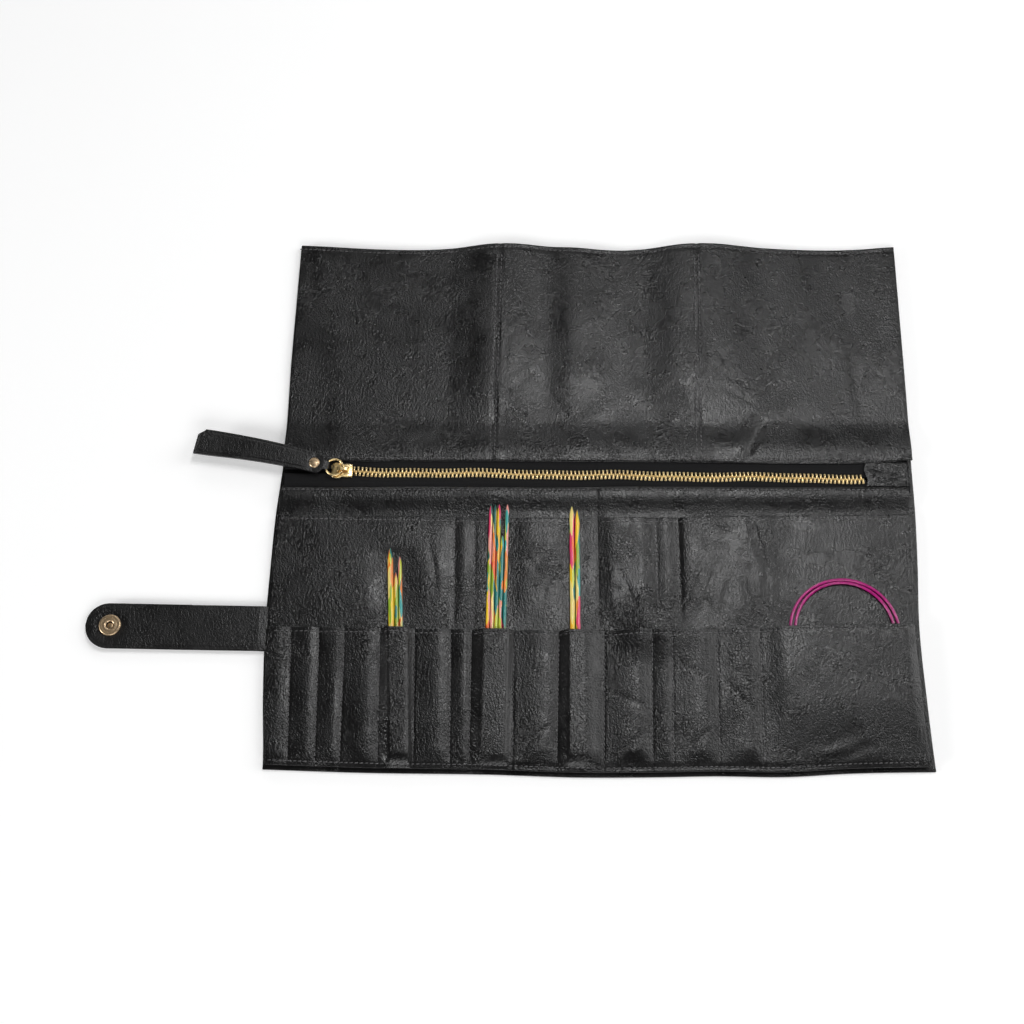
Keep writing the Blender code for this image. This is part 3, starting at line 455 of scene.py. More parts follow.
@dataclass(frozen=True)
class Drape:
    """The case's outline and the height of each layer's upper face, all in case coordinates."""

    outer_level: float = 1.2
    band_level: float = 2.4
    upper_level: float = 3.6
    lower_level: float = 4.9
    outer_thick: float = 1.2
    inner_thick: float = 0.9
    parting: float = -0.5
    band_edge: float = 163.0
    band_seam: float = 1.7
    rim_seam: float = 2.6
    strip_seam: float = 2.2
    hem_seam: float = 4.4
    left: Knots = (
        (-4, -182.9), (1, -182.8), (40, -184.7), (80, -185.7), (115, -184.7), (147, -183.3), (178, -180.6),
        (250, -178.7), (322, -176.4),
    )
    right: Knots = (
        (-4, 178.5), (0, 178.3), (40, 177.0), (81, 176.6), (115, 178.8), (147, 180.3), (178, 180.7),
        (250, 181.4), (322, 182.1),
    )
    hem: Knots = (
        (-186, 1.5), (-130, -0.4), (-62, -1.4), (-10, -3.0), (30, -2.8), (60, -2.3), (98, -2.7),
        (132, -0.9), (182, 0),
    )
    flap_end: Knots = (
        (-180, 321.2), (-100, 318.6), (-57, 321.6), (20, 318.2), (61, 321.6), (120, 318.6), (152, 318.4),
        (184, 320),
    )
    upper_mouth: Knots = ((-186, 146.8), (-60, 144.8), (0, 144.4), (90, 145.6), (182, 146.8))
    lower_mouth: Knots = ((-187, 80.3), (-60, 78.2), (0, 77.5), (90, 79.6), (180, 81.5))
    strip: Knots = ((-184, 178.7), (-60, 178.7), (60, 178.0), (120, 177.2), (160, 177.8), (184, 179.6))
    flap_wave: Knots = (
        (-180, 1.0), (-100, 0.2), (-88, 0.2), (-60, 3.0), (-52, 2.9), (-28, 0.8), (-12, 2.0), (20, 0.0),
        (26, 0.1), (56, 2.9), (68, 2.9), (104, 0.6), (138, 0.0), (156, 0.2), (180, 1.2),
    )
    channels: Knots = (
        (-170.8, -169.3), (-155.2, -154.7), (-141.2, -141.4), (-121.7, -121.1), (-102.5, -102.1),
        (-82.6, -82.7), (-71.4, -72.1), (-47.7, -49.3), (-23.0, -25.3), (2.3, 0.1), (28.1, 26.2),
        (39.1, 37.4), (63.9, 62.0), (87.6, 86.0),
    )
    channel_puffs: tuple[float, ...] = (
        0.5, 0.7, 0.7, 0.9, 1.5, 0.9, 0.8, 1.2, 1.1, 1.5, 1.8, 1.0, 1.3, 1.3, 0.9,
    )
    spines: tuple[float, ...] = (-81.3, -70.0, -0.5, 31.9, 43.6)
    spine_puffs: tuple[float, ...] = (0.7, 0.5, 0.9, 1.3, 0.6, 0.9)
    seams: Knots = ((-60.5, -56.3), (58.4, 62.4))
    bundles: tuple[Bundle, ...] = (
        Bundle(-112.6, 4.4, -2.4, 8.1, 124.0), Bundle(-57.9, 6.0, 1.4, 7.1, 152.5),
        Bundle(-14.05, 3.2, 0.3, 7.8, 151.5),
    )
    stud: tuple[float, float] = (28.7, 81.0)
    flap_creases: tuple[Crease, ...] = creases(
        (85.5, 180.0, 97.5, 205.0, 1.1, 1.3), (80.0, 184.0, 91.0, 209.0, -0.7, 3.0),
        (-8.0, 196.0, -40.0, 240.0, 0.25, 1.6), (14.0, 182.0, 2.0, 200.0, 0.4, 1.6),
        (72.0, 236.0, 100.0, 222.0, 0.2, 1.2), (74.0, 226.0, 98.0, 212.0, 0.25, 1.2),
        (-52.0, 232.0, -36.0, 247.0, 0.2, 1.1), (-53.0, 222.0, -34.0, 238.0, 0.2, 1.1),
        (150.0, 300.0, 154.0, 200.0, 0.3, 4.0),
    )
    upper_creases: tuple[Crease, ...] = creases(
        (86.0, 146.0, 94.0, 112.0, 0.9, 2.2), (94.0, 112.0, 90.0, 84.0, 0.7, 2.0),
        (100.0, 106.0, 98.0, 84.0, 0.5, 1.6), (80.0, 110.0, 84.0, 82.0, 0.5, 1.6),
        (50.0, 112.0, 64.0, 86.0, 0.3, 1.3), (58.0, 120.0, 47.0, 92.0, 0.3, 1.2),
        (66.0, 118.0, 54.0, 84.0, 0.3, 1.2), (72.0, 108.0, 66.0, 86.0, 0.35, 1.3),
        (4.0, 104.0, 26.0, 96.0, 0.35, 1.4), (8.0, 120.0, 22.0, 88.0, 0.3, 1.3),
        (-42.0, 122.0, -30.0, 106.0, 0.25, 1.0), (-26.0, 112.0, -34.0, 92.0, 0.25, 1.0),
        (-96.0, 132.0, -90.0, 100.0, 0.25, 1.5),
    )
    lower_creases: tuple[Crease, ...] = creases(
        (110.0, 10.0, 176.0, 40.0, 0.5, 3.2), (120.0, 4.0, 176.0, 26.0, 0.4, 2.4),
        (96.0, 6.0, 128.0, 26.0, 0.35, 2.4), (140.0, 30.0, 176.0, 50.0, 0.3, 2.0),
        (44.0, 10.0, 60.0, 24.0, 0.35, 1.8), (8.0, 8.0, 24.0, 22.0, 0.4, 2.0),
        (6.0, 42.0, 25.0, 34.0, 0.3, 1.6), (-44.0, 12.0, -29.0, 24.0, 0.3, 1.6),
        (66.0, 50.0, 84.0, 30.0, 0.3, 1.8), (-119.0, 70.0, -106.0, 62.0, 0.3, 1.4),
    )

    def hump(self, x: Array, y: Array) -> Array:
        """0 to 1 over the snap's stud."""
        away = np.hypot(x - self.stud[0], y - self.stud[1]) - 7.2
        return ease(1 - away / 5.3)

    def mound(self, x: Array, y: Array) -> Array:
        """The gentle rise of the layers above that, in millimetres."""
        return 3.3 * ease(1 - np.hypot(x - self.stud[0], y - self.stud[1]) / 25.0)

    def ripple(self, x: Array, y: Array) -> Array:
        """A faint unevenness, from about -1 to 1."""
        first = np.sin(x / 9.7 + y / 23.0) + np.sin(x / 15.3 - y / 11.9 + 1.3)
        return (first + np.sin(x / 6.1 + y / 8.3 + 4.0) * 0.5 + np.sin(y / 17.0 - x / 41.0)) / 3.5

    def wave(self, x: Array, y: Array) -> Array:
        """The flap's rolling lift off the table, which dies away at the zip."""
        across = x - (y - 250) * 0.022
        return swell(self.flap_wave, across) * (0.15 + 0.85 * ease((y - 184) / 60)) * ease((y - 170) / 14)

    def outer(self, x: Array, y: Array) -> Array:
        """The outer leather's upper face."""
        return self.outer_level + 2.6 * self.hump(x, y) + self.wave(x, y)

    def band(self, x: Array, y: Array) -> Array:
        """The zipped pocket's face, which climbs onto the tape and rounds over at its edge."""
        climb = self.band_level + 2.6 * ease((y - 147.0) / 12.5) - 0.45 * ease((y - 161.8) / 1.6)
        seam = 0.4 * dent(x + 0.5, 0.7) + 0.2 * dent(y - 161.3, 0.5)
        return climb + self.mound(x, y) + 0.35 * self.ripple(x, y) * ease((y - 140) / 8) - seam

    def upper(self, x: Array, y: Array) -> Array:
        """The tall pockets' face, puffed a little between its sewn spines."""
        ends = (-190.0,) + self.spines + (185.0,)
        puff = np.zeros_like(x)
        for k, most in enumerate(self.spine_puffs):
            share = (x - ends[k]) / (ends[k + 1] - ends[k])
            within = (share >= 0) & (share < 1)
            edge = np.minimum(share, 1 - share) * (ends[k + 1] - ends[k])
            puff = np.where(within, most * ease(edge / min(9.0, (ends[k + 1] - ends[k]) / 2)), puff)
        trench = 0.9 * dent(x - 45.0, 1.3)
        for bundle in self.bundles:
            puff = puff * (1 - bundle.near(x, y, 13.0))
        sink = sum(crease.sink(x, y) for crease in self.upper_creases)
        open_part = ease((y - 77) / 22)
        uneven = 0.35 * self.ripple(x, y)
        lift = (puff + uneven - sink) * open_part - trench * ease((y - 79) / 6)
        lift = lift * (1 - 0.9 * ease((x - 92) / 10))
        return self.upper_level + np.maximum(lift, -0.8) + self.mound(x, y) - self.sewn(x, y, 82.0)

    def sewn(self, x: Array, y: Array, foot: float) -> Array:
        """How far the stitches pull the tall pockets' leather in."""
        spines = sum(dent(x - line, 0.65) for line in self.spines)
        rim = dent(y - flow(self.upper_mouth, x) + self.rim_seam, 0.6)
        return 0.3 * spines * ease((y - foot + 3) / 3) + 0.22 * rim

    def channel_line(self, k: int, y: Array) -> Array:
        """Where the k-th stitched line of the short pockets is at each y."""
        top, bottom = self.channels[k]
        return bottom + (top - bottom) * y / 79.0

    def lower(self, x: Array, y: Array) -> Array:
        """The short pockets' face: rolls that fall steeply to their right, over the needles and the coil."""
        lines = [np.full_like(x, -192.0)]
        lines += [self.channel_line(k, y) for k in range(len(self.channels))] + [np.full_like(x, 186.0)]
        puff = np.zeros_like(x)
        for k, most in enumerate(self.channel_puffs):
            width = lines[k + 1] - lines[k]
            share = (x - lines[k]) / width
            crest = 0.68 if k < len(self.channel_puffs) - 1 else 0.4
            rise = ease(share / crest) ** 0.8
            fall = ease((1 - share) / (1 - crest)) ** 0.8
            roll = np.where(share < crest, rise, fall)
            puff = np.where((share >= 0) & (share < 1), most * roll, puff)
        puff = puff * ease((y - 1) / 11) * (1 + 0.25 * ease((y - 60) / 18)) + 0.12 * self.ripple(x, y)
        puff = puff - sum(crease.sink(x, y) for crease in self.lower_creases)
        for bundle in self.bundles:
            middle = bundle.middle(y)
            k = next(n for n in range(len(self.channels)) if self.channels[n][0] > bundle.centre)
            first = (x - lines[k]) / np.maximum(middle - bundle.half - lines[k], 1.0)
            last = (lines[k + 1] - x) / np.maximum(lines[k + 1] - middle - bundle.half, 1.0)
            over = (bundle.top - self.lower_level + 0.0105 * (y - 8)) * ease(first) * ease(last)
            over = over * ease((y + 1) / 10)
            puff = (np.maximum(puff, 0) ** 3 + over ** 3) ** (1 / 3)
        pillow = ease((x - lines[-2]) / 16) * ease((178.5 - x) / 12) * ease((y + 2) / 44)
        puff = (np.maximum(puff, 0) ** 3 + (2.5 * pillow) ** 3) ** (1 / 3)
        hem = 0.5 * ease((4.5 - y) / 3)
        furrow = np.zeros_like(x)
        for line in lines[1:-1]:
            furrow = furrow + 0.32 * dent(x - line, 0.65)
        furrow = furrow + 0.22 * dent(y - flow(self.lower_mouth, x) + self.rim_seam, 0.6)
        furrow = furrow + 0.22 * dent(y - flow(self.hem, x) - self.hem_seam, 0.6)
        return self.lower_level + puff - hem + self.mound(x, y) - furrow

    def flap(self, x: Array, y: Array) -> Array:
        """The inner leather above the zip, from its turned edge to the flap's end."""
        step = 2.6 * ease((206.0 - y) / 22.0) - 0.45 * ease((self.strip[0][1] + 1.2 - y) / 1.6)
        sink = sum(crease.sink(x, y) for crease in self.flap_creases)
        for bottom, top in self.seams:
            line = bottom + (top - bottom) * (y - 178) / 142
            sink = sink + 0.5 * dent(x - line, 0.55)
            sink = sink - 0.2 * dent(x - line - 3.0, 1.8)
        sink = sink + 0.22 * dent(y - flow(self.strip, x) - self.strip_seam, 0.6)
        sink = sink + 0.22 * dent(y - flow(self.flap_end, x) + self.rim_seam, 0.6)
        uneven = 0.16 * self.ripple(x * 1.3, y * 0.8) * ease((y - 186) / 10)
        return self.band_level + step + self.wave(x, y) + uneven - sink

    def zip_line(self, x: Array) -> Array:
        """The chain's middle, which wanders a little."""
        return 170.4 - 0.0155 * x + 0.35 * np.sin(x / 13.0 + 0.6) + 0.2 * np.sin(x / 6.1)


DRAPE = Drape()


# ---- modelling tools -----------------------------------------------------------------------------------


class Bench:
    """The modelling steps that every piece is made with."""

    @staticmethod
    def clear() -> None:
        """Deselects everything."""
        for other in bpy.context.selected_objects:
            other.select_set(False)

    @staticmethod
    def take(piece: bpy.types.Object) -> None:
        """Makes a piece the only selected and active one."""
        Bench.clear()
        piece.select_set(True)
        bpy.context.view_layer.objects.active = piece

    @staticmethod
    def started(name: str) -> bpy.types.Object:
        """The primitive that was just added, under its own name."""
        piece = bpy.context.object
        piece.name = name
        piece.data.name = name
        return piece

    @staticmethod
    def placed(name: str, data: bpy.types.ID) -> bpy.types.Object:
        """A new object in the scene."""
        piece = bpy.data.objects.new(name, data)
        bpy.context.scene.collection.objects.link(piece)
        return piece

    @staticmethod
    def drawn(name: str, points: list, edges: list, faces: list) -> bpy.types.Object:
        """A new mesh in the scene."""
        mesh = bpy.data.meshes.new(name)
        mesh.from_pydata(points, edges, faces)
        return Bench.placed(name, mesh)

    @staticmethod
    def points(piece: bpy.types.Object) -> Array:
        """A piece's points, one in each row."""
        flat = np.zeros(len(piece.data.vertices) * 3)
        piece.data.vertices.foreach_get("co", flat)
        return flat.reshape(-1, 3)

    @staticmethod
    def move(piece: bpy.types.Object, points: Array) -> None:
        """Puts a piece's points in new places."""
        piece.data.vertices.foreach_set("co", points.ravel())
        piece.data.update()

    @staticmethod
    def bevel(piece: bpy.types.Object, width: float, segments: int = 1, angle: float = 30.0) -> None:
        """Rounds the edges that are sharper than an angle in degrees."""
        edge = piece.modifiers.new("edge", "BEVEL")
        edge.width = width
        edge.segments = segments
        edge.limit_method = "ANGLE"
        edge.angle_limit = math.radians(angle)

    @staticmethod
    def join(piece: bpy.types.Object, *others: bpy.types.Object) -> bpy.types.Object:
        """Joins other pieces into this one."""
        Bench.take(piece)
        for other in others:
            other.select_set(True)
        bpy.ops.object.join()
        return Bench.finish(piece)

    @staticmethod
    def finish(piece: bpy.types.Object, angle: float = 38.0) -> bpy.types.Object:
        """Applies the piece's modifiers and place, and shades it smooth.

        Args:
            piece: the piece.
            angle: edges sharper than this many degrees stay sharp.
        Returns:
            The piece.
        """
        Bench.take(piece)
        for modifier in list(piece.modifiers):
            bpy.ops.object.modifier_apply(modifier=modifier.name)
        bpy.ops.object.transform_apply(location=True, rotation=True, scale=True)
        bpy.ops.object.shade_smooth_by_angle(angle=math.radians(angle))
        Bench.clear()
        return piece

    @staticmethod
    def grid(name: str, columns: int, rows: int, place: Place) -> bpy.types.Object:
        """A grid whose points are put where place says, in case coordinates.

        Args:
            name: the piece's name.
            columns: cells along x.
            rows: cells along y.
            place: gives x, y and z for shares of the way along and across.
        Returns:
            The open surface.
        """
        Bench.clear()
        bpy.ops.mesh.primitive_grid_add(x_subdivisions=columns, y_subdivisions=rows, size=1)
        piece = Bench.started(name)
        shares = Bench.points(piece) + 0.5
        x, y, z = place(shares[:, 0], shares[:, 1])
        Bench.move(piece, np.stack([x * MM, HEM + y * MM, z * MM], axis=1))
        return piece

    @staticmethod
    def hide(
        name: str, columns: int, rows: int, place: Place, thick: float, soft: float = 0.25
    ) -> bpy.types.Object:
        """A hide of leather or tape: a shaped grid given its thickness downwards and rounded edges.

        Args:
            name: the piece's name.
            columns: cells along x.
            rows: cells along y.
            place: where its upper face lies.
            thick: thickness in millimetres.
            soft: radius of its edges in millimetres.
        Returns:
            The closed piece.
        """
        piece = Bench.grid(name, columns, rows, place)
        wall = piece.modifiers.new("thickness", "SOLIDIFY")
        wall.thickness = thick * MM
        wall.offset = -1
        Bench.bevel(piece, soft * MM, 2, 60.0)
        return Bench.finish(piece)

    @staticmethod
    def square(piece: bpy.types.Object, *lines: float | None) -> None:
        """Takes the rounding off the edges where a piece meets its neighbour, at each x in millimetres."""
        points = Bench.points(piece)
        for line in lines:
            if line is not None:
                near = np.abs(points[:, 0] - line * MM) < 0.3 * MM
                points[near, 0] = line * MM
        Bench.move(piece, points)
        Bench.finish(piece)

    @staticmethod
    def turned(name: str, profile: Outline, place: Matrix, steps: int = 40) -> bpy.types.Object:
        """A profile of (radius, height) points in metres, spun about Z and then put in place.

        Args:
            name: the piece's name.
            profile: from one end of the axis to the other, or a closed loop beside it.
            place: where the piece goes.
            steps: sides of the turned shape.
        Returns:
            The closed piece.
        """
        loop = profile[0][0] > 0
        edges = [(k, k + 1) for k in range(len(profile) - 1)] + ([(len(profile) - 1, 0)] if loop else [])
        piece = Bench.drawn(name, [(radius, 0.0, height) for radius, height in profile], edges, [])
        Bench.take(piece)
        bpy.ops.object.mode_set(mode="EDIT")
        bpy.ops.mesh.select_all(action="SELECT")
        bpy.ops.mesh.spin(steps=steps, angle=2 * math.pi, center=(0, 0, 0), axis=(0, 0, 1))
        bpy.ops.mesh.select_all(action="SELECT")
        bpy.ops.mesh.remove_doubles(threshold=1e-6)
        bpy.ops.mesh.normals_make_consistent(inside=False)
        bpy.ops.object.mode_set(mode="OBJECT")
        piece.data.transform(place)
        return Bench.finish(piece)

    @staticmethod
    def plate(name: str, outline: Outline, low: float, high: float, soft: float) -> bpy.types.Object:
        """An outline in metres, extruded between two heights, with rounded edges.

        Args:
            name: the piece's name.
            outline: its corners in order.
            low: lower height.
            high: upper height.
            soft: radius of its edges.
        Returns:
            The closed piece.
        """
        piece = Bench.drawn(name, [(x, y, low) for x, y in outline], [], [tuple(range(len(outline)))])
        Bench.take(piece)
        bpy.ops.object.mode_set(mode="EDIT")
        bpy.ops.mesh.select_all(action="SELECT")
        bpy.ops.mesh.extrude_region_move(TRANSFORM_OT_translate={"value": (0, 0, high - low)})
        bpy.ops.mesh.select_all(action="SELECT")
        bpy.ops.mesh.normals_make_consistent(inside=False)
        bpy.ops.object.mode_set(mode="OBJECT")
        Bench.bevel(piece, soft, 3)
        return Bench.finish(piece)

    @staticmethod
    def copies(name: str, pattern: bpy.types.Object, places: Array) -> bpy.types.Object:
        """One piece that holds a copy of a pattern at each place; the pattern is removed by the caller.

        Args:
            name: the piece's name.
            pattern: the shape that repeats.
            places: 4 x 4 matrices.
        Returns:
            The piece.
        """
        points = Bench.points(pattern)
        faces = [tuple(face.vertices) for face in pattern.data.polygons]
        turned = np.einsum("nij,mj->nmi", places[:, :3, :3], points) + places[:, None, :3, 3]
        steps = range(0, len(places) * len(points), len(points))
        every = [tuple(v + step for v in face) for step in steps for face in faces]
        return Bench.finish(Bench.drawn(name, turned.reshape(-1, 3).tolist(), [], every), 50.0)

    @staticmethod
    def dress(piece: bpy.types.Object, slot: Slot, finish: Finish | None = None) -> bpy.types.Object:
        """Gives a piece the finish passed in, or else the finish of its slot."""
        piece.data.materials.clear()
        piece.data.materials.append((finish or FINISH_OF[slot]).material())
        return piece

    @staticmethod
    def fit(piece: bpy.types.Object, slot: Slot, body: str, *nodes: str) -> None:
        """Dresses a piece, sets it on its body and lets it stand for its nodes."""
        Bench.dress(piece, slot)
        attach(piece, body)
        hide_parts(*nodes)


@dataclass(frozen=True)
class Folds:
    """Where the case bends, from the frame's own joints, and how far each bend spreads."""

    left_spread: tuple[float, float] = (11 * MM, 17 * MM)
    right_spread: tuple[float, float] = (12 * MM, 12 * MM)
    flap_spread: float = 8 * MM
    corner_spread: float = 3 * MM

    @staticmethod
    def at(name: str) -> Vector:
        """The place of a joint."""
        return Vector(joint(name)["pos_m"])

    def side(self, piece: bpy.types.Object, side: Side) -> None:
        """Bakes a half's place into its points; the half is not bent here."""
        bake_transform(piece)

    def flap(self, piece: bpy.types.Object, column: str) -> None:
        """Bakes a flap column's place into its points; the column is not bent here."""
        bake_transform(piece)

    def corner(self, piece: bpy.types.Object) -> None:
        """Bakes a length of the strap's place into its points; it is not bent here."""
        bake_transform(piece)


FOLDS = Folds()
COLUMNS = {
    "left": (None, FOLDS.at("left_fold").x / MM),
    "mid": (FOLDS.at("left_fold").x / MM, FOLDS.at("right_fold").x / MM),
    "right": (FOLDS.at("right_fold").x / MM, None),
}


# ---- leather -------------------------------------------------------------------------------------------


@dataclass
class Panels:
    """The sewn part in two halves: outer leather, zipped pocket's face and both tiers of pockets."""

    border_left: float = 1.6
    border_right: float = 3.6
    hem_border: float = 2.4
    flap_start: float = 192.0
    width: float = 181.0
    cell: float = 1.15
    coarse: float = 2.4
    fine: float = 0.8

    def spread_over(
        self, side: Side, low: Edge, high: Edge, height: Height, insets: tuple[float, float], sewn: bool
    ) -> Place:
        """Where a half of a sheet lies.

        Args:
            side: which half.
            low: its lower edge as a function of x.
            high: its upper edge as a function of x.
            height: its upper face.
            insets: how far it stays inside the case's left and right sides.
            sewn: whether the halves meet on a stitched line of the short pockets.
        Returns:
            The place function for a grid.
        """
        def place(u: Array, v: Array) -> tuple[Array, Array, Array]:
            """The point for each share of the way."""
            rough = 80.0 * np.ones_like(u)
            for _ in range(3):
                parting = DRAPE.channel_line(9, rough) if sewn else DRAPE.parting
                if side is Side.LEFT:
                    edge = flow(DRAPE.left, rough) + insets[0]
                    x = edge + (parting - edge) * u
                else:
                    edge = flow(DRAPE.right, rough) - insets[1]
                    x = parting + (edge - parting) * u
                rough = low(x) + (high(x) - low(x)) * v
            return x, rough, height(x, rough)
        return place

    def build_half(self, side: Side) -> None:
        """Builds the four sheets of one half."""
        name, tail = side.value, ("mid", side.value)
        hem, upper_mouth, lower_mouth = DRAPE.hem, DRAPE.upper_mouth, DRAPE.lower_mouth
        inset = (self.border_left, self.border_right)
        rows = {
            "outer": (
                lambda x: flow(hem, x), lambda x: np.full_like(x, self.flap_start), DRAPE.outer, (0.0, 0.0),
                DRAPE.outer_thick, self.coarse,
            ),
            "back_panel": (
                lambda x: flow(hem, x) + self.hem_border, lambda x: DRAPE.band_edge + 0.25 * np.sin(x / 21.0),
                DRAPE.band, inset, DRAPE.inner_thick, self.coarse,
            ),
            "upper_pocket": (
                lambda x: flow(hem, x) + self.hem_border, lambda x: flow(upper_mouth, x), DRAPE.upper, inset,
                DRAPE.inner_thick, self.cell,
            ),
            "lower_pocket": (
                lambda x: flow(hem, x) + self.hem_border - 0.4, lambda x: flow(lower_mouth, x), DRAPE.lower,
                inset, DRAPE.inner_thick, self.fine,
            ),
        }
        for layer, (low, high, height, insets, thick, cell) in rows.items():
            tall = float(high(np.zeros(1))[0] - low(np.zeros(1))[0])
            sewn = layer == "lower_pocket"
            place = self.spread_over(side, low, high, height, insets, sewn)
            columns, lines = round(self.width / cell), round(tall / cell / 1.3)
            piece = Bench.hide(f"{layer}_{name}_half", columns, lines, place, thick)
            if not sewn:
                Bench.square(piece, DRAPE.parting)
            Bench.dress(piece, Slot.CASE)
            FOLDS.side(piece, side)
            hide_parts(*(f"{layer}_{column}" for column in tail))
            log.info("%s: %d faces", piece.name, len(piece.data.polygons))

    def build(self) -> None:
        """Builds both halves."""
        for side in Side:
            self.build_half(side)


@dataclass
class Flap:
    """The flap's two leathers and the strip above the zip, in the three columns that fold."""

    start: float = 192.0
    proud: float = 0.5
    left: float = -180.0
    right: float = 181.0
    cell: float = 1.6
    rows: tuple[int, int] = (60, 110)

    def place_in(self, column: str, low: Edge, high: Edge, height: Height) -> Place:
        """Where one column of one leather lies."""
        left, right = COLUMNS[column]

        def place(u: Array, v: Array) -> tuple[Array, Array, Array]:
            """The point for each share of the way."""
            y = 250.0 * np.ones_like(u)
            for _ in range(3):
                start = flow(DRAPE.left, y) if left is None else left
                end = flow(DRAPE.right, y) if right is None else right
                x = start + (end - start) * u
                y = low(x) + (high(x) - low(x)) * v
            return x, y, height(x, y)
        return place

    def build(self) -> None:
        """Builds each column's outer and inner leather."""
        for column, (left, right) in COLUMNS.items():
            width = (right if right is not None else self.right) - (left if left is not None else self.left)
            columns = round(width / self.cell)
            outer = self.place_in(
                column, lambda x: np.full_like(x, self.start), lambda x: flow(DRAPE.flap_end, x) + self.proud,
                DRAPE.outer,
            )
            piece = Bench.hide(f"flap_outer_{column}_hide", columns, self.rows[0], outer, DRAPE.outer_thick)
            Bench.square(piece, left, right)
            self.fit(piece, column, f"flap_outer_{column}")
            inner = self.place_in(
                column, lambda x: flow(DRAPE.strip, x), lambda x: flow(DRAPE.flap_end, x), DRAPE.flap
            )
            piece = Bench.hide(f"flap_inner_{column}_hide", columns, self.rows[1], inner, DRAPE.inner_thick)
            Bench.square(piece, left, right)
            self.fit(piece, column, f"flap_inner_{column}", f"flap_strip_{column}")

    @staticmethod
    def fit(piece: bpy.types.Object, column: str, *nodes: str) -> None:
        """Dresses a column's piece, bakes its place and lets it stand for its nodes."""
        Bench.dress(piece, Slot.CASE)
        FOLDS.flap(piece, column)
        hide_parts(*nodes)


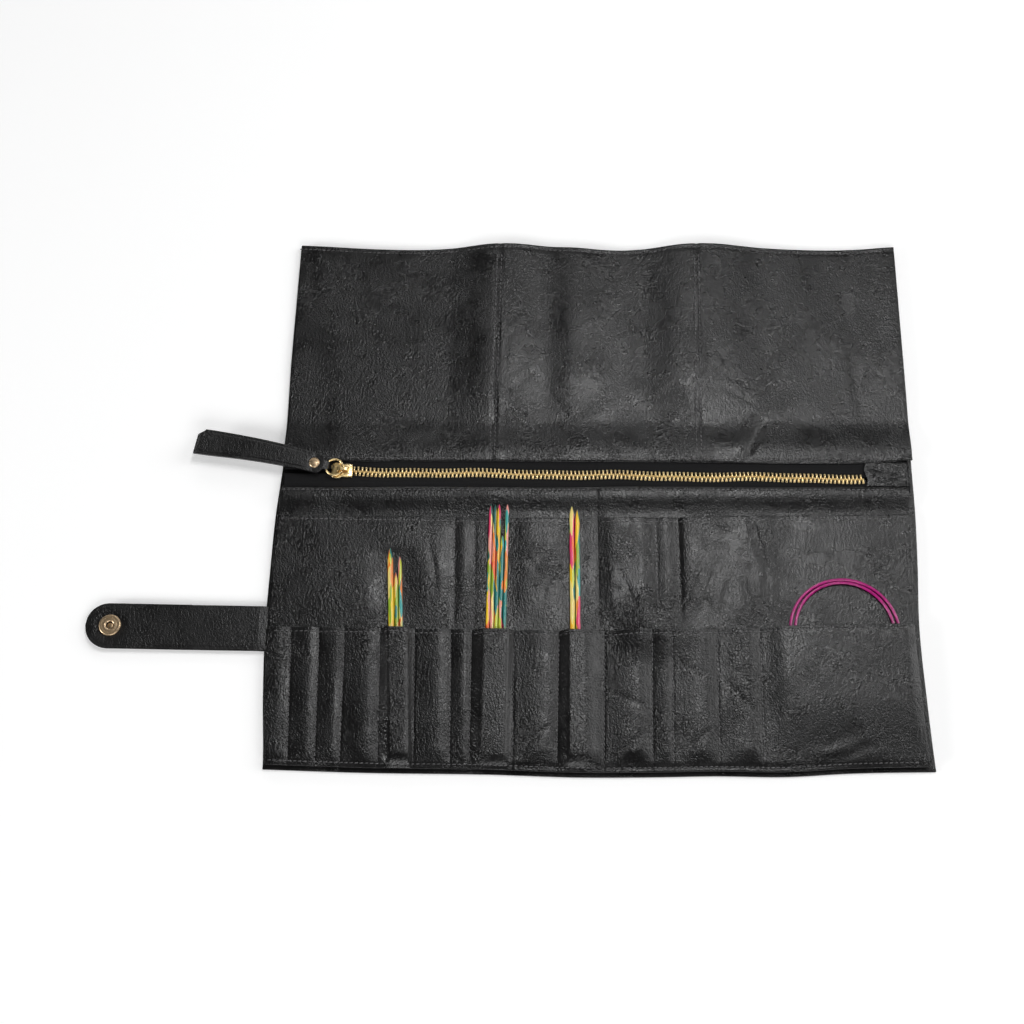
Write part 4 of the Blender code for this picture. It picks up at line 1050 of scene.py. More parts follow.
@dataclass
class Stitches:
    """All of the visible thread: one slanted stitch, repeated along each sewn line."""

    length: float = 2.0
    radius: float = 0.31
    pitch: float = 2.75
    slant: float = 0.12
    lift: float = 0.20
    lines: dict[str, list[tuple[Array, Height]]] = field(default_factory=dict)

    def pattern(self) -> bpy.types.Object:
        """One stitch along X, bulging in its middle."""
        Bench.clear()
        bpy.ops.mesh.primitive_cylinder_add(
            vertices=6, radius=self.radius * MM, depth=self.length * 0.55 * MM, rotation=(0, math.pi / 2, 0)
        )
        piece = Bench.started("stitch_pattern")
        Bench.take(piece)
        bpy.ops.object.transform_apply(location=False, rotation=True, scale=False)
        bpy.ops.object.mode_set(mode="EDIT")
        for towards in (-1, 1):
            bpy.ops.mesh.select_all(action="DESELECT")
            bpy.ops.object.mode_set(mode="OBJECT")
            for face in piece.data.polygons:
                face.select = face.center.x * towards > self.length * 0.27 * MM
            bpy.ops.object.mode_set(mode="EDIT")
            reach = (towards * self.length * 0.22 * MM, 0, -self.radius * 0.6 * MM)
            bpy.ops.mesh.extrude_region_move(TRANSFORM_OT_translate={"value": reach})
            bpy.ops.transform.resize(value=(1, 0.45, 0.45))
        bpy.ops.object.mode_set(mode="OBJECT")
        return piece

    def sew(self, group: str, path: Sequence[tuple[float, float]], height: Height) -> None:
        """Adds a line of stitches.

        Args:
            group: the piece of leather that it goes through.
            path: points of the line in case coordinates.
            height: the leather's upper face there.
        """
        points = np.array(path, float)
        along = np.concatenate([[0], np.cumsum(np.hypot(*np.diff(points, axis=0).T))])
        count = int((along[-1] - self.pitch) / self.pitch)
        at = self.pitch * (np.arange(count) + 0.75)
        half = self.length / 2
        middle, ahead, behind = (
            np.stack([np.interp(at + shift, along, points[:, k]) for k in (0, 1)], axis=1)
            for shift in (0.0, half, -half)
        )
        self.lines.setdefault(group, []).append((np.stack([middle, ahead, behind], axis=1), height))

    @staticmethod
    def unit(rows: Array) -> Array:
        """Each row scaled to length 1."""
        return rows / np.linalg.norm(rows, axis=1)[:, None]

    def matrices(self, group: str) -> Array:
        """A 4 x 4 matrix for each stitch of a group."""
        found = []
        for spots, height in self.lines[group]:
            z = [height(spots[:, k, 0], spots[:, k, 1]) for k in range(3)]
            x, y = spots[:, :, 0], spots[:, :, 1]
            centre = np.stack([x[:, 0] * MM, HEM + y[:, 0] * MM, (z[0] + self.lift) * MM], axis=1)
            run = self.unit(np.stack([x[:, 1] - x[:, 2], y[:, 1] - y[:, 2], z[1] - z[2]], axis=1))
            side = self.unit(np.cross(np.array([0.0, 0.0, 1.0]), run))
            slanted = self.unit(run + self.slant * side)
            across = np.cross(np.cross(run, side), slanted)
            up = np.cross(slanted, across)
            made = np.tile(np.eye(4), (len(centre), 1, 1))
            made[:, :3, 0], made[:, :3, 1], made[:, :3, 2], made[:, :3, 3] = slanted, across, up, centre
            found.append(made)
        return np.concatenate(found)

    def sew_pockets(self) -> None:
        """Adds the lines through both tiers, the zipped pocket's face and the hem."""
        for side in Side:
            left = side is Side.LEFT
            xs = np.linspace(-181.0, -1.2, 80) if left else np.linspace(0.4, 172.5, 80)
            rows = {
                "band": (DRAPE.band_edge - DRAPE.band_seam + 0 * xs, DRAPE.band),
                "upper": (flow(DRAPE.upper_mouth, xs) - DRAPE.rim_seam, DRAPE.upper),
                "lower": (flow(DRAPE.lower_mouth, xs) - DRAPE.rim_seam, DRAPE.lower),
                "hem": (flow(DRAPE.hem, xs) + DRAPE.hem_seam, DRAPE.lower),
            }
            for tier, (ys, height) in rows.items():
                self.sew(f"{tier}_{side.value}", list(zip(xs, ys)), height)
        for k, x in enumerate(DRAPE.spines):
            if k != 2:
                group = "upper_left" if x < 0 else "upper_right"
                self.sew(group, [(x, 82.0), (x, 143.0)], DRAPE.upper)
        for k in range(len(DRAPE.channels)):
            ys = np.linspace(4.0, 76.0, 20)
            xs = DRAPE.channel_line(k, ys)
            group = "lower_left" if xs.mean() < DRAPE.parting else "lower_right"
            self.sew(group, list(zip(xs, ys)), DRAPE.lower)

    def sew_flap(self) -> None:
        """Adds the lines round the flap and down its two seams."""
        for column, (left, right) in COLUMNS.items():
            start = -178.5 if left is None else left
            end = 179.0 if right is None else right
            xs = np.linspace(start, end, 60)
            for ys in (flow(DRAPE.flap_end, xs) - DRAPE.rim_seam, flow(DRAPE.strip, xs) + DRAPE.strip_seam):
                self.sew(f"flap_{column}", list(zip(xs, ys)), DRAPE.flap)
        for (bottom, top), column in zip(DRAPE.seams, ("mid", "right")):
            for aside in (-1.3, 1.3):
                self.sew(f"flap_{column}", [(bottom + aside, 181.5), (top + aside, 318.0)], DRAPE.flap)

    def build(self) -> None:
        """Makes one piece of thread for each group and bakes its place."""
        self.sew_pockets()
        self.sew_flap()
        pattern = self.pattern()
        for group in self.lines:
            piece = Bench.copies(f"thread_{group}", pattern, self.matrices(group))
            Bench.dress(piece, Slot.CASE, THREAD_PAINTED_GLINT)
            tier, part = group.rsplit("_", 1)
            if tier == "flap":
                FOLDS.flap(piece, part)
            else:
                FOLDS.side(piece, Side(part))
            log.info("%s: %d faces", piece.name, len(piece.data.polygons))
        bpy.data.objects.remove(pattern)


# ---- zip -----------------------------------------------------------------------------------------------


@dataclass
class Zip:
    """The tapes, the chain of alternating teeth and the leather patch over its end."""

    pitch: float = 2.3
    tooth: tuple[float, float, float] = (1.42, 3.3, 2.1)
    level: float = 3.55
    tape_top: float = 3.8
    tape_ends: tuple[float, float] = (-179.0, 178.0)
    tape_edges: tuple[float, float] = (159.6, 181.7)
    tape_gap: float = 1.3

    def build_tapes(self) -> None:
        """Builds each half's two tapes."""
        low_edge, high_edge = self.tape_edges
        for side in Side:
            left, right = self.tape_ends
            start, end = (left, DRAPE.parting) if side is Side.LEFT else (DRAPE.parting, right)
            for tape, low, high in (("lower", low_edge, None), ("upper", None, high_edge)):
                def place(u: Array, v: Array) -> tuple[Array, Array, Array]:
                    """The point for each share of the way."""
                    x = start + (end - start) * u
                    y0 = low if low is not None else DRAPE.zip_line(x) + self.tape_gap
                    y1 = high if high is not None else DRAPE.zip_line(x) - self.tape_gap
                    return x, y0 + (y1 - y0) * v, self.tape_top + 0.08 * np.sin(x / 5.0)
                piece = Bench.hide(f"tape_{tape}_{side.value}_half", 90, 6, place, 0.5, 0.1)
                Bench.dress(piece, Slot.TAPE)
                FOLDS.side(piece, side)
                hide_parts(f"zip_tape_{tape}_mid", f"zip_tape_{tape}_{side.value}")

    def tooth_pattern(self) -> bpy.types.Object:
        """One tooth: a waisted bar that grips the tape, with a narrower head past the middle."""
        Bench.clear()
        bpy.ops.mesh.primitive_cube_add(size=1)
        piece = Bench.started("tooth_pattern")
        Bench.take(piece)
        bpy.ops.object.mode_set(mode="EDIT")
        bpy.ops.mesh.select_all(action="SELECT")
        bpy.ops.mesh.bisect(plane_co=(0, -0.12, 0), plane_no=(0, 1, 0))
        bpy.ops.object.mode_set(mode="OBJECT")
        wide, long, tall = self.tooth
        for vertex in piece.data.vertices:
            across = 0.62 if abs(vertex.co.y + 0.12) < 0.01 else (0.82 if vertex.co.y < -0.3 else 1.0)
            drop = 0.86 if vertex.co.y < -0.3 else 1.0
            x, y, z = vertex.co
            vertex.co = (x * across * wide * MM, (y * long + 1.12) * MM, z * drop * tall * MM)
        Bench.bevel(piece, 0.26 * MM)
        return Bench.finish(piece, 50.0)

    def build_chain(self) -> None:
        """Lays the teeth of both rows along the zip, half a pitch apart."""
        first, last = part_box("zip_chain_left")[0].x / MM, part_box("zip_chain_right")[1].x / MM
        pattern = self.tooth_pattern()
        xs = np.arange(first + 0.6, last - 0.4, self.pitch / 2)
        for side in Side:
            within = xs < DRAPE.parting if side is Side.LEFT else xs >= DRAPE.parting
            numbers = np.arange(len(xs))[within]
            x = xs[within]
            lean = np.gradient(DRAPE.zip_line(x), x)
            places = np.tile(np.eye(4), (len(x), 1, 1))
            flip = np.where(numbers % 2 == 0, 1.0, -1.0)
            places[:, 0, 0], places[:, 1, 0] = flip, lean * flip
            places[:, 0, 1], places[:, 1, 1] = -lean * flip, flip
            places[:, 0, 3] = x * MM
            places[:, 1, 3] = HEM + DRAPE.zip_line(x) * MM
            places[:, 2, 3] = self.level * MM
            piece = Bench.copies(f"teeth_{side.value}_half", pattern, places)
            Bench.dress(piece, Slot.ZIP)
            FOLDS.side(piece, side)
            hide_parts("zip_chain_mid", f"zip_chain_{side.value}")
            log.info("%s: %d teeth", piece.name, len(x))
        bpy.data.objects.remove(pattern)

    def build_end(self) -> None:
        """Builds the folded leather over the zip's closed end."""
        low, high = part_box("zip_end_patch")
        folds = creases(
            (155, 176, 172, 168, 0.7, 1.4), (158, 166, 176, 171, 0.5, 1.3), (154, 170, 165, 172, -0.5, 1.2)
        )

        def place(u: Array, v: Array) -> tuple[Array, Array, Array]:
            """The point for each share of the way."""
            x = low.x / MM + (high.x - low.x) / MM * u + 0.8 * (1 - u) * np.sin(v * 7)
            y = (low.y - HEM) / MM + (high.y - low.y) / MM * v
            sink = sum(fold.sink(x, y) for fold in folds)
            return x, y, high.z / MM - 0.35 - sink + 0.3 * np.sin(v * math.pi)
        piece = Bench.hide("zip_end_hide", 26, 18, place, 0.9)
        Bench.fit(piece, Slot.CASE, "panel_right", "zip_end_patch")

    def build(self) -> None:
        """Builds the zip."""
        self.build_tapes()
        self.build_chain()
        self.build_end()


@dataclass
class Pull:
    """The slider with its bridge, the wire ring, and the riveted leather tab."""

    half_widths: Knots = (
        (0.0, 1.5), (0.25, 3.1), (1.3, 4.35), (2.8, 4.75), (4.8, 4.6), (6.0, 3.9), (7.0, 3.75), (9.0, 4.0),
        (11.6, 3.9), (12.3, 3.2),
    )
    notch: float = 1.2
    bridge_width: float = 2.4
    tab_length: float = 76.5
    near_width: float = 5.9
    far_width: float = 7.75
    droop: float = 0.2

    def build_slider(self) -> None:
        """Builds the slider's face, its side walls and the bridge that holds the ring."""
        low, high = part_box("zip_slider")
        chain_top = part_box("zip_chain_left")[1].z
        middle = (low.y + high.y) / 2
        plate_low, plate_high = chain_top + 0.6 * MM, chain_top + 1.4 * MM
        side = [(low.x + x * MM, middle + half * MM) for x, half in self.half_widths]
        other = [(x, 2 * middle - y) for x, y in reversed(side)]
        outline = side + other + [(low.x + self.notch * MM, middle)]
        face = Bench.plate("slider_face", outline, plate_low, plate_high, 0.28 * MM)
        walls = []
        for towards in (-1, 1):
            y = middle + towards * 3.55 * MM
            Bench.clear()
            bpy.ops.mesh.primitive_cube_add(size=1, location=(low.x + 9.4 * MM, y, plate_low - 0.45 * MM))
            wall = Bench.started("slider_wall")
            wall.scale = (5.4 * MM, 0.6 * MM, 1.3 * MM)
            Bench.bevel(wall, 0.15)
            walls.append(Bench.finish(wall))
        bridge = self.bridge(low, high, middle, plate_high)

        def bulge(u: Array, v: Array) -> tuple[Array, Array, Array]:
            """The point for each share of the way over the face's rear."""
            y = (middle - HEM) / MM + 3.0 * (2 * v - 1) * (1 - 0.25 * u)
            z = plate_high / MM + 0.35 * np.sin(u * math.pi) * np.cos((v - 0.5) * math.pi) + 0.02
            return low.x / MM + 7.4 + 4.0 * u, y, z

        crest = Bench.hide("slider_crest", 16, 12, bulge, 0.3, 0.05)
        Bench.join(face, *walls, bridge, crest)
        face.name = "slider"
        Bench.fit(face, Slot.ZIP, "slider", "zip_slider")

    def bridge(self, low: Vector, high: Vector, middle: float, foot: float) -> bpy.types.Object:
        """The arch over the slider, from behind its nose to its rear."""
        span = 6.9
        start = low.x / MM + 3.4
        rise = (high.z - foot) / MM

        def place(u: Array, v: Array) -> tuple[Array, Array, Array]:
            """The point for each share of the way."""
            t = 2 * u - 1
            x = start + span / 2 * (1 + np.sign(t) * np.abs(np.sin(t * math.pi / 2)))
            z = foot / MM + rise * (1 - np.abs(t) ** 3.2)
            half = self.bridge_width / 2 * (0.86 + 0.3 * np.abs(t) ** 2)
            return x, (middle - HEM) / MM + half * (2 * v - 1), z
        return Bench.hide("slider_bridge", 28, 6, place, 0.7, 0.15)

    def build_ring(self) -> None:
        """Builds the wire ring with a flattened join."""
        low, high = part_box("pull_ring")
        centre = middle_of("pull_ring")
        wire = (high.z - low.z) / 2
        Bench.clear()
        bpy.ops.mesh.primitive_torus_add(
            location=centre, major_radius=(high.x - low.x) / 2 - wire, minor_radius=wire * 0.96,
            major_segments=72, minor_segments=16,
        )
        ring = Bench.started("wire_ring")
        bpy.ops.object.transform_apply(location=True, rotation=False, scale=False)
        for vertex in ring.data.vertices:
            across = abs(vertex.co.y - centre.y)
            if vertex.co.x > centre.x and across < 0.35 * MM:
                vertex.co.z = centre.z + (vertex.co.z - centre.z) * 0.9
        Bench.fit(Bench.finish(ring), Slot.ZIP, "ring", "pull_ring")

    def build_tab(self) -> None:
        """Builds the tab, its loop round the ring and its rivet."""
        hinge, axis = FOLDS.at("tab_swing"), Vector(joint("tab_swing")["axis"])
        out = Vector((0, 0, 1)).cross(axis).normalized()
        out = out if out.x < 0 else -out
        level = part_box("pull_tab")[1].z / MM

        def put(along: Array, across: Array, z: Array) -> tuple[Array, Array, Array]:
            """Tab coordinates to case coordinates; across grows towards the flap."""
            aside = Vector((-out.y, out.x, 0))
            aside = aside if aside.y > 0 else -aside
            x = hinge.x / MM + out.x * along + aside.x * across
            return x, (hinge.y - HEM) / MM + out.y * along + aside.y * across, z

        def face(u: Array, v: Array) -> tuple[Array, Array, Array]:
            """The tab's upper face, waisted at the ring, slanted at its far end and grooved at its edge."""
            end = self.tab_length - 3.6 * ease((0.28 - v) / 0.28)
            along = 1.6 + (end - 1.6) * u
            half = self.near_width + (self.far_width - self.near_width) * np.clip((along - 8) / 60, 0, 1)
            half = half * (0.40 + 0.60 * ease((along - 0.4) / 4.2) ** 0.8)
            across = half * (1 - 2 * v)
            border = np.minimum(half - np.abs(across), end - along)
            groove = 0.22 * dent(border - 1.5, 0.35) * ease((along - 9) / 5)
            arch = self.droop * ease((along - 22) / 55)
            arch = arch - 0.25 * np.sin(np.clip((along - 11) / 49, 0, 1) * math.pi)
            arch = arch + 0.35 * ease(1 - np.abs(along - 6.8) / 5.5)
            crown = 0.25 * (np.abs(2 * v - 1) ** 3)
            bow = 1.3 * np.sin(np.clip(along / 76, 0, 1) * math.pi)
            return put(along, across + bow, level - arch - crown - groove)

        tab = Bench.hide("tab_strip", 110, 36, face, 2.1, 0.35)
        radius = level - hinge.z / MM

        def loop(u: Array, v: Array) -> tuple[Array, Array, Array]:
            """The strip as it goes round the ring's wire."""
            turn = math.pi * (u - 0.5)
            half = 2.2 + 0.5 * np.abs(np.sin(turn))
            z = level - radius + radius * np.sin(turn)
            return put(1.9 - (1.9 + radius) * np.cos(turn), half * (1 - 2 * v), z)

        eye = Bench.hide("tab_loop", 22, 10, loop, 0.75, 0.1)
        Bench.fit(Bench.join(tab, eye), Slot.STRAP, "tab", "pull_tab")
        self.build_rivet()

    def build_rivet(self) -> None:
        """Builds the rivet's domed cap with its worn rim."""
        low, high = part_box("rivet_cap")
        centre = middle_of("rivet_cap")
        radius = (high.x - low.x) / 2
        head = high.z - 1.0 * MM
        rim = ((0.96, 0), (1, 0.18), (0.97, 0.42), (0.86, 0.66), (0.78, 0.62), (0.70, 0.74), (0.40, 0.95))
        profile = [(0, low.z), (radius * 0.38, low.z), (radius * 0.38, head)]
        profile += [(radius * wide, head + height * MM) for wide, height in rim] + [(0, high.z)]
        cap = Bench.turned("rivet_dome", profile, Matrix.Translation((centre.x, centre.y, 0)), 48)
        Bench.fit(cap, Slot.SNAP, "tab", "rivet_cap")

    def build(self) -> None:
        """Builds the pull."""
        self.build_slider()
        self.build_ring()
        self.build_tab()


# ---- strap and snap ------------------------------------------------------------------------------------


@dataclass
class Strap:
    """The closing strap, which bends at two corners, and the snap's socket and cap on it."""

    half: float = 13.0
    skew: float = 0.0187
    thick: float = 2.0

    def face(self, start: float, end: float, round_end: bool) -> Place:
        """Where a length of the strap lies, from its right end to its left.

        Args:
            start: x of its left end.
            end: x of its right end.
            round_end: whether the left end is the round tip.
        Returns:
            The place function for a grid.
        """
        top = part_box("strap_side")[1].z / MM
        snap_x = middle_of("snap_socket").x / MM
        middle = (middle_of("strap_side").y - HEM) / MM

        def place(u: Array, v: Array) -> tuple[Array, Array, Array]:
            """The point for each share of the way."""
            x = start + (end - start) * u
            half = np.full_like(x, self.half)
            if round_end:
                bend = np.clip((start + self.half - x) / self.half, 0, 1)
                half = self.half * np.sqrt(np.maximum(1 - bend ** 2, 0.0))
                half = np.maximum(half, 0.05)
            across = half * (2 * v - 1)
            tip = np.hypot(np.maximum(start + self.half - x, 0), across) if round_end else np.abs(across)
            border = self.half - tip
            groove = 0.16 * dent(border - 1.6, 0.4)
            crown = 0.30 * np.clip(1 - border / 2.2, 0, 1) ** 2
            swayed = 0.5 * np.sin((x + 180) / 30.0)
            press = 0.25 * ease(1 - (np.hypot(x - snap_x, across) - 6.4) / 4.0)
            rise = 0.0 if round_end else 0.8 * ease((x + 190) / 8)
            y = middle - self.skew * (x - snap_x) + across
            return x, y, top + 0.4 * swayed * ease((x + 262) / 30) - groove - crown - press - rise
        return place

    def build_leather(self) -> None:
        """Builds the strap in two lengths that meet between its corners."""
        meet = middle_of("strap_side").x / MM
        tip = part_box("strap_end")[0].x / MM
        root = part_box("strap_root")[1].x / MM - 3.0
        near = Bench.hide("strap_near", 56, 44, self.face(meet, root, False), self.thick, 0.25)
        Bench.square(near, meet)
        Bench.dress(near, Slot.STRAP)
        FOLDS.corner(near)
        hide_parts("strap_root", "strap_side")
        far = Bench.hide("strap_far", 90, 44, self.face(tip, meet, True), self.thick, 0.25)
        Bench.square(far, meet)
        Bench.dress(far, Slot.STRAP)
        FOLDS.corner(far)
        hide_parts("strap_side", "strap_end")

    def build_snap(self) -> None:
        """Builds the socket with a ring of plain marks round its mouth, and the domed cap under the strap."""
        low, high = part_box("snap_socket")
        centre = middle_of("snap_socket")
        centre.z = 0
        radius = (high.x - low.x) / 2
        base, top = low.z, high.z
        rim = (
            (0.985, 0.55), (0.93, 0.2), (0.85, 0.08), (0.76, 0.2), (0.60, 0.16), (0.50, 0.0), (0.43, 0.12)
        )
        profile = [(2.2 * MM, base), (radius * 0.97, base), (radius, base + 0.35 * MM)]
        profile += [(radius * wide, top - depth * MM) for wide, depth in rim]
        profile += [(2.15 * MM, top - 0.5 * MM)]
        socket = Bench.turned("snap_ring", profile, Matrix.Translation(centre), 64)
        pattern = self.mark(radius, top)
        angles = np.linspace(0, 2 * math.pi, 15)[:-1]
        places = np.tile(np.eye(4), (len(angles), 1, 1))
        places[:, 0, 0], places[:, 0, 1] = np.cos(angles), -np.sin(angles)
        places[:, 1, 0], places[:, 1, 1] = np.sin(angles), np.cos(angles)
        places[:, :3, 3] = centre
        marks = Bench.copies("snap_marks", pattern, places)
        bpy.data.objects.remove(pattern)
        Bench.fit(Bench.join(socket, marks), Slot.SNAP, "strap_tip", "snap_socket")
        low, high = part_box("snap_cap")
        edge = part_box("strap_side")[0].z - 0.3 * MM
        shank = 1.6 * MM
        dome = (
            (0, low.z), (radius * 0.6, low.z + 0.08 * MM), (radius * 0.88, low.z + 0.34 * MM),
            (radius, low.z + 0.7 * MM), (radius * 0.98, edge), (shank, edge), (shank, high.z - 0.15 * MM),
            (shank * 0.8, high.z), (0, high.z),
        )
        cap = Bench.turned("snap_dome", dome, Matrix.Translation(centre), 64)
        Bench.fit(cap, Slot.SNAP, "strap_tip", "snap_cap")

    @staticmethod
    def mark(radius: float, top: float) -> bpy.types.Object:
        """One small raised bar of the ring of marks."""
        Bench.clear()
        bpy.ops.mesh.primitive_cube_add(size=1, location=(radius * 0.70, 0, top - 0.12 * MM))
        piece = Bench.started("mark_pattern")
        piece.scale = (0.75 * MM, 0.3 * MM, 0.24 * MM)
        Bench.bevel(piece, 0.2)
        return Bench.finish(piece)

    def build(self) -> None:
        """Builds the strap and its snap."""
        self.build_leather()
        self.build_snap()


# ---- contents ------------------------------------------------------------------------------------------


@dataclass
class Needles:
    """The screw-on tips with their ferrules and the double-pointed needles."""

    tips: tuple[str, ...] = ("tip_thick", "tip_short", "tip_thin")
    double: tuple[str, ...] = (
        *(f"thin_needle_{k}" for k in range(1, 6)), *(f"thick_needle_{k}" for k in range(1, 3))
    )
    taper: float = 5.5
    sides: int = 24

    @staticmethod
    def lie(node: str, slide: str) -> tuple[Matrix, float, float]:
        """How a rod lies in the frame.

        Args:
            node: its node.
            slide: the joint that runs along it.
        Returns:
            Its place, length and radius.
        """
        axis = Vector(joint(slide)["axis"]).normalized()
        points = [v.co.copy() for v in frame["nodes"][node].data.vertices]
        along = [p.dot(axis) for p in points]
        first, last = min(along), max(along)
        middle = sum((p - axis * d for p, d in zip(points, along)), Vector()) / len(points)
        radius = max((p - axis * d - middle).length for p, d in zip(points, along))
        turn = axis.to_track_quat("Z", "Y").to_matrix().to_4x4()
        return Matrix.Translation(middle + axis * first) @ turn, last - first, radius

    def point(self, length: float, radius: float) -> list[tuple[float, float]]:
        """A slim rounded point at the far end of a rod."""
        run = self.taper * radius
        shares = ((0.0, 1.0), (0.18, 0.97), (0.4, 0.83), (0.62, 0.60), (0.82, 0.34), (0.94, 0.16), (1.0, 0.0))
        return [(radius * wide, length - run + run * share) for share, wide in shares]

    def build(self) -> None:
        """Builds every needle on its own body."""
        for name in self.double:
            place, length, radius = self.lie(name, f"{name}_slide")
            upper = self.point(length, radius)
            lower = [(wide, length - height) for wide, height in reversed(upper)]
            rod = Bench.turned(f"{name}_wood", lower + upper, place, self.sides)
            Bench.fit(rod, Slot.NEEDLE, name, name)
        for name in self.tips:
            place, length, radius = self.lie(name, f"{name}_slide")
            profile = [(0, 0), (radius, 0)] + self.point(length, radius)
            rod = Bench.turned(f"{name}_wood", profile, place, self.sides)
            Bench.fit(rod, Slot.NEEDLE, name, name)
            self.build_ferrule(name)

    def build_ferrule(self, name: str) -> None:
        """Builds a tip's metal sleeve with its screw thread."""
        node = f"{name}_ferrule"
        place, length, radius = self.lie(node, f"{name}_slide")
        core, screw = radius * 0.52, length * 0.36
        profile = [(0.0, 0.0), (core, 0.05 * MM)]
        turns = 9
        for k in range(turns):
            step = (screw - 0.3 * MM) / turns
            low = 0.15 * MM + k * step
            profile += [(core, low), (core * 1.25, low + step * 0.5)]
        profile += [(core, screw), (radius * 0.94, screw), (radius, screw + 0.2 * MM)]
        profile += [(radius, length * 0.62)]
        profile += [(radius * 0.88, length * 0.65), (radius, length * 0.68), (radius, length), (0.0, length)]
        sleeve = Bench.turned(f"{name}_sleeve", profile, place, self.sides)
        Bench.fit(sleeve, Slot.STEEL, name, node)


@dataclass
class Cable:
    """The flexible cable, coiled in its pocket with a screw connector on each end."""

    length: float = 0.35
    thick: float = 1.6
    inner: float = 28.2
    outer: float = 30.0
    spread: float = 0.9
    first_turn: float = 0.925
    steps: int = 44

    def route(self) -> list[Vector]:
        """Points down the middle of the cable, from its inner end to its outer one."""
        centre = middle_of("cable_coil")
        turns, points = self.turns(), []
        count = round(turns * self.steps)
        for k in range(count + 1):
            turn = turns * k / count
            grown = float(ease(np.array((turn - self.first_turn) / (1 - self.first_turn))))
            angle = -math.pi / 2 + 0.14 * math.pi + 2 * math.pi * turn
            closer = self.spread * (1 - grown) * math.cos(angle) ** 2
            radius = (self.inner + (self.outer - self.inner) * grown - closer) * MM
            points.append(centre + Vector((radius * math.cos(angle), radius * math.sin(angle), 0)))
        return points

    def turns(self) -> float:
        """How many turns take up the cable's length."""
        first = 2 * math.pi * (self.inner - self.spread / 2) * MM * self.first_turn
        step = 2 * math.pi * (self.inner + self.outer) / 2 * MM * (1 - self.first_turn)
        return 1 + (self.length - first - step) / (2 * math.pi * self.outer * MM)

    def build(self) -> None:
        """Builds the cable and its two connectors."""
        route = self.route()
        curve = bpy.data.curves.new("cable_line", "CURVE")
        curve.dimensions = "3D"
        line = curve.splines.new("POLY")
        line.points.add(len(route) - 1)
        for spot, point in zip(line.points, route):
            spot.co = (*point, 1)
        curve.bevel_depth = self.thick / 2 * MM
        curve.bevel_resolution = 5
        curve.use_fill_caps = True
        cable = Bench.placed("cable_line", curve)
        Bench.fit(cable, Slot.CABLE, "cable", "cable_coil")
        ends = [self.connector(name) for name in ("cable_connector_inner", "cable_connector_outer")]

    @staticmethod
    def connector(node: str) -> bpy.types.Object:
        """A knurled sleeve with a waist, along X."""
        low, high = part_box(node)
        centre = middle_of(node)
        radius, length = (high.z - low.z) / 2, high.x - low.x
        profile = [(0.0, 0.0), (radius * 0.7, 0.0), (radius * 0.98, radius * 0.5)]
        for k in range(6):
            start = length * (0.16 + 0.08 * k)
            profile += [(radius, start), (radius * 0.9, start + length * 0.03)]
        profile += [(radius, length * 0.68), (radius, length - 1.2 * MM)]
        profile += [(radius * 0.6, length), (0.0, length)]
        place = Matrix.Translation((low.x, centre.y, centre.z)) @ Matrix.Rotation(math.pi / 2, 4, "Y")
        piece = Bench.turned(f"{node}_sleeve", profile, place, 24)
        Bench.fit(piece, Slot.STEEL, "cable", node)
        return piece


@dataclass
class KeptParts:
    """Small hidden fittings whose frame nodes stay as they are, with a proper finish."""

    finishes: dict[str, Slot] = field(
        default_factory=lambda: {
            "zip_slider_back": Slot.ZIP, "rivet_back": Slot.SNAP,
            "snap_stud": Slot.SNAP, "snap_post": Slot.STEEL,
        }
    )

    def dress(self) -> None:
        """Gives each node its finish."""
        for node, slot in self.finishes.items():
            Bench.dress(frame["nodes"][node], slot)


# ---- studio --------------------------------------------------------------------------------------------


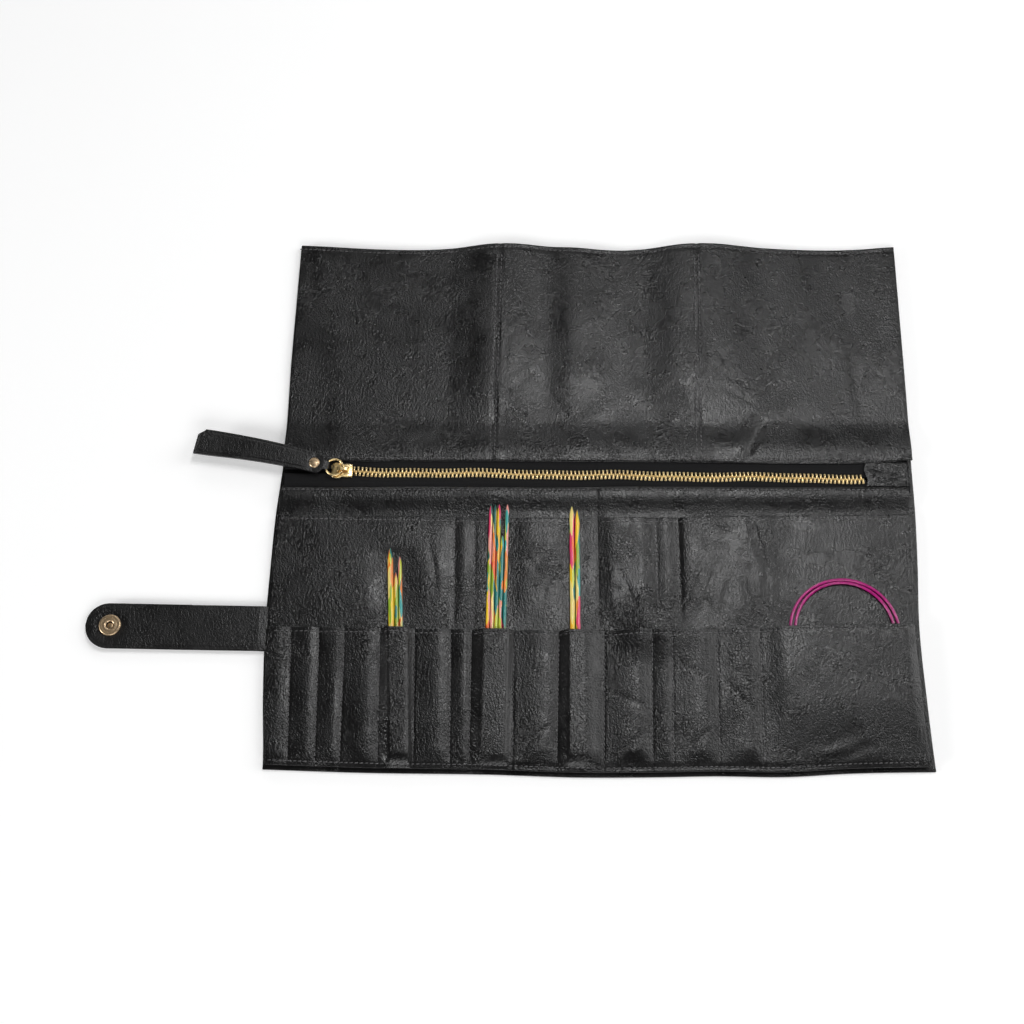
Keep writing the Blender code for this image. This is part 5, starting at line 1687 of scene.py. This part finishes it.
@dataclass
class Studio:
    """Pale floor, soft lights and the camera."""

    camera_place: tuple[float, float, float] = (-0.0490, -0.2759, 0.8513)
    camera_tilt: float = 20.9155
    lens: float = 56.25
    floor_tone: float = 0.93
    floor_glow: float = 0.20
    sky_strength: float = 0.03

    def build_camera(self) -> None:
        """Sets the camera above the case, looking down its length."""
        data = bpy.data.cameras.new("camera")
        data.lens, data.sensor_width = self.lens, 36.0
        data.clip_start, data.clip_end = 0.01, 20.0
        camera = Bench.placed("camera", data)
        camera.location = self.camera_place
        camera.rotation_euler = (math.radians(self.camera_tilt), 0, 0)
        bpy.context.scene.camera = camera

    def build_floor(self) -> None:
        """Lays a wide matt floor just under the case."""
        Bench.clear()
        bpy.ops.mesh.primitive_plane_add(size=6.0, location=(0, 0, -0.1 * MM))
        floor = Bench.started("floor")
        tone = self.floor_tone
        pale = Dye("pale_floor").coat(
            Base_Color=(tone, tone, tone), Roughness=0.95, Specular_IOR_Level=0.0,
            Emission_Color=(1.0, 1.0, 1.0), Emission_Strength=self.floor_glow,
        )
        floor.data.materials.append(pale)

    @staticmethod
    def light(name: str, place: Vector, aim: Vector, size: tuple[float, float], power: float) -> None:
        """Adds a soft rectangular light.

        Args:
            name: its name.
            place: where it stands.
            aim: the point that it faces.
            size: its width and height.
            power: its power in watts.
        """
        data = bpy.data.lights.new(name, "AREA")
        data.shape = "RECTANGLE"
        data.size, data.size_y = size
        data.energy = power
        lamp = Bench.placed(name, data)
        lamp.location = place
        lamp.rotation_euler = (aim - place).to_track_quat("-Z", "Y").to_euler()

    def build(self) -> None:
        """Builds the studio."""
        scene = bpy.context.scene
        scene.view_settings.view_transform = "Standard"
        world = bpy.data.worlds.new("studio")
        world.use_nodes = True
        sky = world.node_tree.nodes["Background"].inputs
        sky["Color"].default_value = (0.96, 0.98, 1.0, 1)
        sky["Strength"].default_value = self.sky_strength
        scene.world = world
        aim = Vector((0, 0.02, 0))
        self.light("sheen", Vector((0.15, 0.42, 1.15)), Vector((0.03, 0.03, 0)), (0.17, 0.5), 4.6)
        self.light("key_right", Vector((1.5, 0.5, 1.0)), aim, (1.0, 1.4), 14.0)
        self.light("fill_left", Vector((-1.9, -0.6, 0.55)), aim, (0.8, 0.6), 24.0)
        self.light("fill_front", Vector((0.3, -1.6, 1.0)), aim, (1.6, 0.8), 17.0)
        self.light("fill_back", Vector((-0.2, 1.8, 0.8)), aim, (1.6, 0.6), 6.0)
        self.build_camera()
        self.build_floor()


def main() -> None:
    """Builds the studio, then the case from its leather to what it holds."""
    logging.basicConfig(level=logging.INFO, format="%(name)s: %(message)s")
    Studio().build()
    for part in (Cable(), Panels(), Flap(), Zip(), Pull(), Strap(), Needles(), Stitches()):
        part.build()
        log.info("built %s", type(part).__name__)
    KeptParts().dress()


if __name__ == "__main__":
    main()
